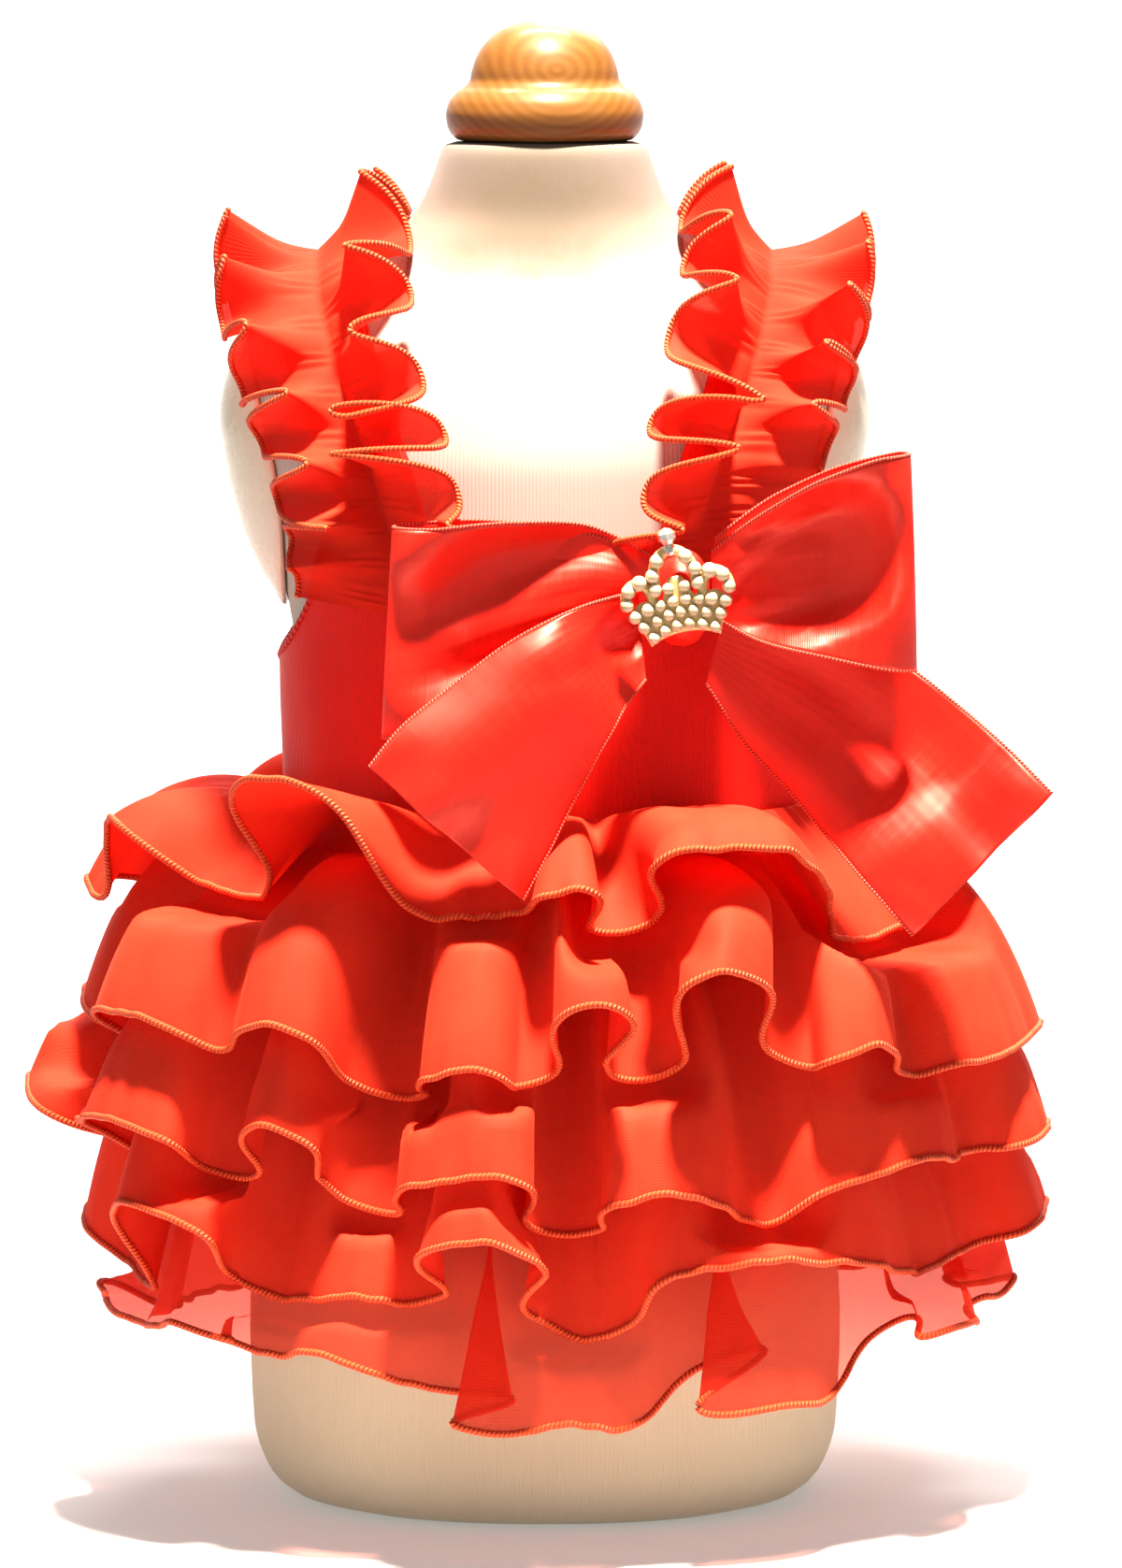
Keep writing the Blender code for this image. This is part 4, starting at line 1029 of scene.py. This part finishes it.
# Bow: five lengths of 50 mm double-faced satin ribbon with woven picot edges: two loops and two
# tails caught together, and a short piece folded round them as the knot.
# The bow's ribbons from the knot out: across, height, depth in front of the axis, half width,
# turn of the width from upright in degrees, and how far the middle bulges to the front.
LOOP_LEFT = (
    (25.4, 233, 67, 7.5, 2, 1), (12, 233, 70, 14, 2, -1), (-8, 229, 76, 20, 2, -3),
    (-28, 224, 78, 24, 3, 2), (-37, 223, 73, 25, 3, 4), (-36, 223, 67, 25, 3, 2),
    (-20, 227, 65, 22, 3, 0), (4, 232, 64.5, 15, 2, 0), (16, 233, 63, 11, 2, 0),
    (25, 233, 62, 7.5, 2, 0),
)
LOOP_RIGHT = (
    (39.6, 234, 68, 7.5, 0, 1), (51, 236, 74, 15, 2, -2), (66, 239, 80, 21, 0, -4),
    (81, 240, 82, 25, -2, 2), (87, 240, 76, 25.5, -2, 4), (85, 240.5, 70, 25, -2, 2),
    (70, 241, 67, 21, 1, 0), (55, 240, 65, 15.5, 3, 0), (40, 236, 63.5, 8.5, 2, 0),
)
TAIL_LEFT = (
    (23, 222, 70, 10.5, -6, -4), (16, 219, 76, 12.5, -19, -3), (5, 211, 81, 16, -38, 5),
    (-8, 197, 83, 20, -47, 7), (-17, 186, 86, 23, -49, 5), (-23, 177, 88, 24, -49, 2),
)
TAIL_RIGHT = (
    (40.5, 218.5, 61.7, 9, 12, 0.5), (55, 210, 60, 16, 28, 2), (70, 201, 63, 20, 40, 2),
    (83, 189.5, 69, 22, 44, -2), (93, 180, 79, 23, 44, -1), (103.5, 169, 82, 23.5, 44, 1),
)
# Soft dents and swells in each ribbon: share of its length, share of its half width, half length
# and half width in mm, turn in degrees, how far it stands to the front, and how soft its rim is.
LOOP_LEFT_DENTS = (
    (0.20, 0.05, 28, 19, 0, -7.0, 0.8), (0.14, -0.05, 24, 6, -10, 3.4, 1.5),
    (0.35, 0.8, 8, 8, 0, 2.0, 1.2), (0.02, 0.5, 18, 4.5, -16, 1.8, 1.5),
    (0.03, -0.6, 18, 4.5, 16, 1.8, 1.5),
)
LOOP_RIGHT_DENTS = (
    (0.19, 0.05, 25, 16, 10, -7.5, 0.7), (0.17, 0.85, 28, 5.5, 16, 2.4, 1.4),
    (0.05, 0.35, 20, 4.5, -14, 2.2, 1.5), (0.06, -0.45, 20, 4.5, 14, 2.0, 1.5),
)
TAIL_LEFT_DENTS = (
    (0.10, 0.15, 10, 5.5, 0, -3.4, 0.9), (0.26, 0.75, 12, 7, 0, 3.5, 1.4),
    (0.55, 0.35, 30, 9, 6, 2.2, 1.7), (0.97, -0.72, 9, 4, -8, 2.0, 1.7),
    (0.97, -0.2, 10, 4, 6, -1.4, 1.7), (0.97, 0.25, 9, 4, -6, 1.8, 1.7),
    (0.97, 0.75, 10, 4, 8, -1.4, 1.7),
)
TAIL_RIGHT_DENTS = (
    (0.30, 0.0, 26, 9, -8, -2.4, 1.2), (0.72, -0.5, 20, 11, 8, 4.0, 1.8),
    (0.60, 0.4, 26, 7, 0, -1.6, 1.6), (0.97, 0.8, 9, 5, 0, 2.4, 1.6),
    (0.97, 0.2, 9, 4, 0, -1.6, 1.7), (0.97, -0.85, 8, 4, 0, 1.8, 1.7),
)
RIBBON_WALL, RIBBON_HALF, PICOT_RADIUS = 0.5, 25.0, 0.4


def dented(dents, share, width, length, half):
    """How far dents and swells, oval plateaus with soft rims, push a ribbon to the front."""
    push = 0.0
    for at, across, long, wide, turn, depth, soft in dents:
        sine, cosine = math.sin(math.radians(turn)), math.cos(math.radians(turn))
        run, off = (share - at)[:, None] * length, (width - across) * half
        far = np.hypot((run * cosine + off * sine) / long, (off * cosine - run * sine) / wide)
        push = push + depth * smooth_step((1 + soft / 2 - far) / soft)
    return push


def ribbon_sheet(table, dents, length, share, width):
    """A ribbon along its table's stations, with its dents and a bulge between its edges."""
    stations = np.arange(len(table)) / (len(table) - 1)
    across, height, depth, half, turn, bulge = (
        smooth_curve(stations, column, share)[:, None] for column in zip(*table)
    )
    turn = np.radians(turn)
    front = bulge * (1 - width**2) + dented(dents, share, width, length, half)
    return np.stack((
        across + width * half * np.sin(turn), -depth - front, height + width * half * np.cos(turn),
    ), axis=-1)


satin_ribbon, tree = new_material("red_satin_ribbon")
tone = blotchy(tree, 25.0, (0.74, 0.014, 0.006), (0.82, 0.024, 0.010))
threads = placed(tree, weave, Threads=300.0, Cross=3300.0)
# Uneven weft threads make fine streaks across the ribbon in its colour and its shine.
weft = streaks(tree, coordinates(tree, "UV"), (70.0, 1300.0, 1.0))
surface(tree, {
    "Base Color": mixed(tree, weft, mixed(tree, 0.3, tone, (0.45, 0.004, 0.002)), tone),
    "Roughness": ranged(tree, weft, 0.3, 0.7, 0.36, 0.50), "Anisotropic": 0.5,
    "Specular IOR Level": 1.0, "Specular Tint": (1.0, 0.58, 0.48),
    "Normal": bumped(tree, threads, 0.25, 0.0002),
})
picot = thread_look("satin_picot", (0.90, 0.16, 0.10), (0.5, 0.02, 0.01), 0.0009)

width = np.linspace(-1, 1, 41)[None, :]
for name, table, dents, nominal, count in (
    ("bow_loop_left", LOOP_LEFT, LOOP_LEFT_DENTS, 135.0, 180),
    ("bow_loop_right", LOOP_RIGHT, LOOP_RIGHT_DENTS, 110.0, 180),
    ("bow_tail_left", TAIL_LEFT, TAIL_LEFT_DENTS, 75.0, 110),
    ("bow_tail_right", TAIL_RIGHT, TAIL_RIGHT_DENTS, 85.0, 110),
):
    share = np.linspace(0, 1, count)
    ribbon = ribbon_sheet(table, dents, nominal, share, width)
    length = float(step_lengths(ribbon[:, 20]).sum()) / 1000
    piece = add_piece(
        f"{name}_ribbon", ribbon, satin_ribbon, [name],
        grid_uv(width[0] * RIBBON_HALF / 1000, share * length),
    )
    thicken(piece, RIBBON_WALL)
    names = [f"{name}_{edge}_picot" for edge in ("low", "high")]
    edges = edge_pair(names, ribbon, PICOT_RADIUS, picot)

# The knot's ribbon is folded in three and drawn tight, so its face has upright ridges.
KNOT_MIDDLE, KNOT_HALF = (32.5, -68.0, 231.0), (6.5, 9.5, 11.5)
KNOT_RIDGES, KNOT_RIDGE = 5.0, 0.07
KNOT_ROUND, KNOT_UP = 0.008, 0.011  # metres of ribbon for each radian
turn = np.linspace(-math.pi, math.pi, 73)[None, :]
rise = np.linspace(-math.pi / 2, math.pi / 2, 37)[:, None]


def rounded(wave):
    """A sine or cosine drawn out towards a square wave."""
    return np.sign(wave) * np.abs(wave) ** 0.8


size = 1 + KNOT_RIDGE * np.cos(KNOT_RIDGES * turn) * np.cos(rise)
level = size * rounded(np.cos(rise))
knot = np.stack((
    KNOT_MIDDLE[0] + KNOT_HALF[0] * level * rounded(np.sin(turn)),
    KNOT_MIDDLE[1] - KNOT_HALF[1] * level * rounded(np.cos(turn)),
    KNOT_MIDDLE[2] + KNOT_HALF[2] * rounded(np.sin(rise)) + 0 * turn,
), axis=-1)
add_piece(
    "bow_knot_fold", knot, satin_ribbon, ["bow_knot"],
    grid_uv(turn[0] * KNOT_ROUND, rise[:, 0] * KNOT_UP),
)


# Crown brooch: a cast, gold-plated plate with three open arches, set all over with small pearls and
# two clear stones on its tip. It is pinned through the knot.
CROWN_MIDDLE, CROWN_TURN = np.array((31.5, -79.4, 232.5)), math.radians(11.0)
PLATE_THICK, ARCH_WIRE, ARCH_SEAT = 1.6, 1.35, -0.4
ARCH_LAP = 0.35  # radians that an arch runs on at each foot
BEAD_SEAT = 0.45  # share of its radius that a bead's middle stands in front of the plate
PLATE_LOW, PLATE_HIGH = 8.6, 12.0  # half widths of the plate at its foot, and from its middle up
# Arches: across, up, half width, half height of their ovals.
ARCHES = ((-9.2, 0.2, 3.2, 4.1), (0.0, 4.4, 4.8, 6.4), (9.2, 0.2, 3.2, 4.1))
# Pearls on the right half, mirrored on the left: across, up, radius.
PEARLS = (
    (7.4, -8.9, 1.45), (4.5, -7.7, 1.4), (1.5, -7.0, 1.4), (9.2, -6.0, 1.5), (10.9, -3.2, 1.6),
    (12.2, -0.1, 1.65), (11.3, 3.0, 1.75), (8.4, 4.5, 1.9), (6.0, -5.1, 1.4), (3.0, -4.1, 1.4),
    (0.0, -3.9, 1.4), (7.6, -2.1, 1.65), (4.6, -1.6, 1.45), (1.6, -1.1, 1.4), (5.1, 2.2, 1.7),
    (5.0, 5.6, 1.75), (3.4, 8.8, 1.75), (2.0, 2.0, 1.45),
)
STONES = ((0.0, 14.2, 2.2), (0.0, 10.9, 1.5))  # across, up, radius

gold_plate, tree = new_material("gold_plate")
surface(tree, {
    "Base Color": (0.78, 0.55, 0.25), "Metallic": 0.2,
    "Roughness": ranged(tree, placed(tree, blotches, Size=400.0), 0.0, 1.0, 0.2, 0.38),
})

pearl, tree = new_material("crown_pearl")
tone = blotchy(tree, 300.0, (0.52, 0.40, 0.24), (0.66, 0.55, 0.38))
surface(tree, {"Base Color": tone, "Roughness": 0.3, "Coat Weight": 0.5})

clear_stone, tree = new_material("clear_stone")
# Painted reflections: the light and dark patches stand for what the stones' facets reflect.
tone = blotchy(tree, 900.0, (0.85, 0.84, 0.80), (0.35, 0.34, 0.32))
surface(tree, {"Base Color": tone, "Metallic": 0.6, "Roughness": 0.06, "Coat Weight": 1.0})


def on_crown(across, up, forward):
    """Points in front of the crown's middle, turned with it."""
    across, up, forward = np.broadcast_arrays(across, up, forward)
    sine, cosine = math.sin(CROWN_TURN), math.cos(CROWN_TURN)
    turned = (across * cosine - up * sine, -forward, across * sine + up * cosine)
    return CROWN_MIDDLE + np.stack(turned, axis=-1)


def add_beads(name, rows, sides, rounds, look):
    """Balls for rows of across, up and radius, as one piece, set a little into the plate."""
    turn = np.linspace(0, 2 * math.pi, sides + 1)[None, :]
    rise = np.linspace(-math.pi / 2, math.pi / 2, rounds)[:, None]
    balls = np.array([
        on_crown(
            across + radius * np.cos(rise) * np.sin(turn), up + radius * np.sin(rise),
            BEAD_SEAT * radius + radius * np.cos(rise) * np.cos(turn),
        )
        for across, up, radius in rows
    ])
    quads = grid_faces(rounds, sides + 1)
    firsts = np.arange(len(balls)) * rounds * (sides + 1)
    faces = (quads + firsts[:, None, None]).reshape(-1, 4)[:, ::-1]
    return add_piece(name, balls, look, faces=faces)


share = np.linspace(-1, 1, 61)[None, :]
low_edge = -8.7 - 2.2 * share**2
middle_scallop = 6.0 * np.exp(-((share / 0.27) ** 4))
side_scallops = 1.5 * np.exp(-(((np.abs(share) - 0.66) / 0.24) ** 4))
high_edge = -1.4 + (middle_scallop + side_scallops) - 0.6 * share**2
height = low_edge + (high_edge - low_edge) * np.linspace(0, 1, 12)[:, None]
flare = PLATE_HIGH - PLATE_LOW
half_width = PLATE_LOW + np.where(height < 0, flare * (height + 10) / 9.5, flare)
plate = on_crown(half_width * share, height, 0.4 * (1 - share**2))
piece = add_piece("crown_plate", plate, gold_plate, ["crown"])
thicken(piece, PLATE_THICK, -1.0)
angle = np.linspace(-ARCH_LAP, math.pi + ARCH_LAP, 40)
for name, (across, up, half_width, half_height) in zip(("left", "middle", "right"), ARCHES):
    oval = (across + half_width * np.cos(angle), up + half_height * np.sin(angle))
    path = on_crown(*oval, ARCH_SEAT)
    rings, _ = edge_tube(path, ARCH_WIRE, on_crown(across, up, ARCH_SEAT) - path)
    add_piece(f"crown_arch_{name}", rings, gold_plate)
pearls = PEARLS + tuple((-across, up, radius) for across, up, radius in PEARLS if across)
add_beads("crown_pearls", pearls, 12, 9, pearl)
stones = add_beads("crown_stones", STONES, 8, 6, clear_stone)
stones.data.shade_flat()
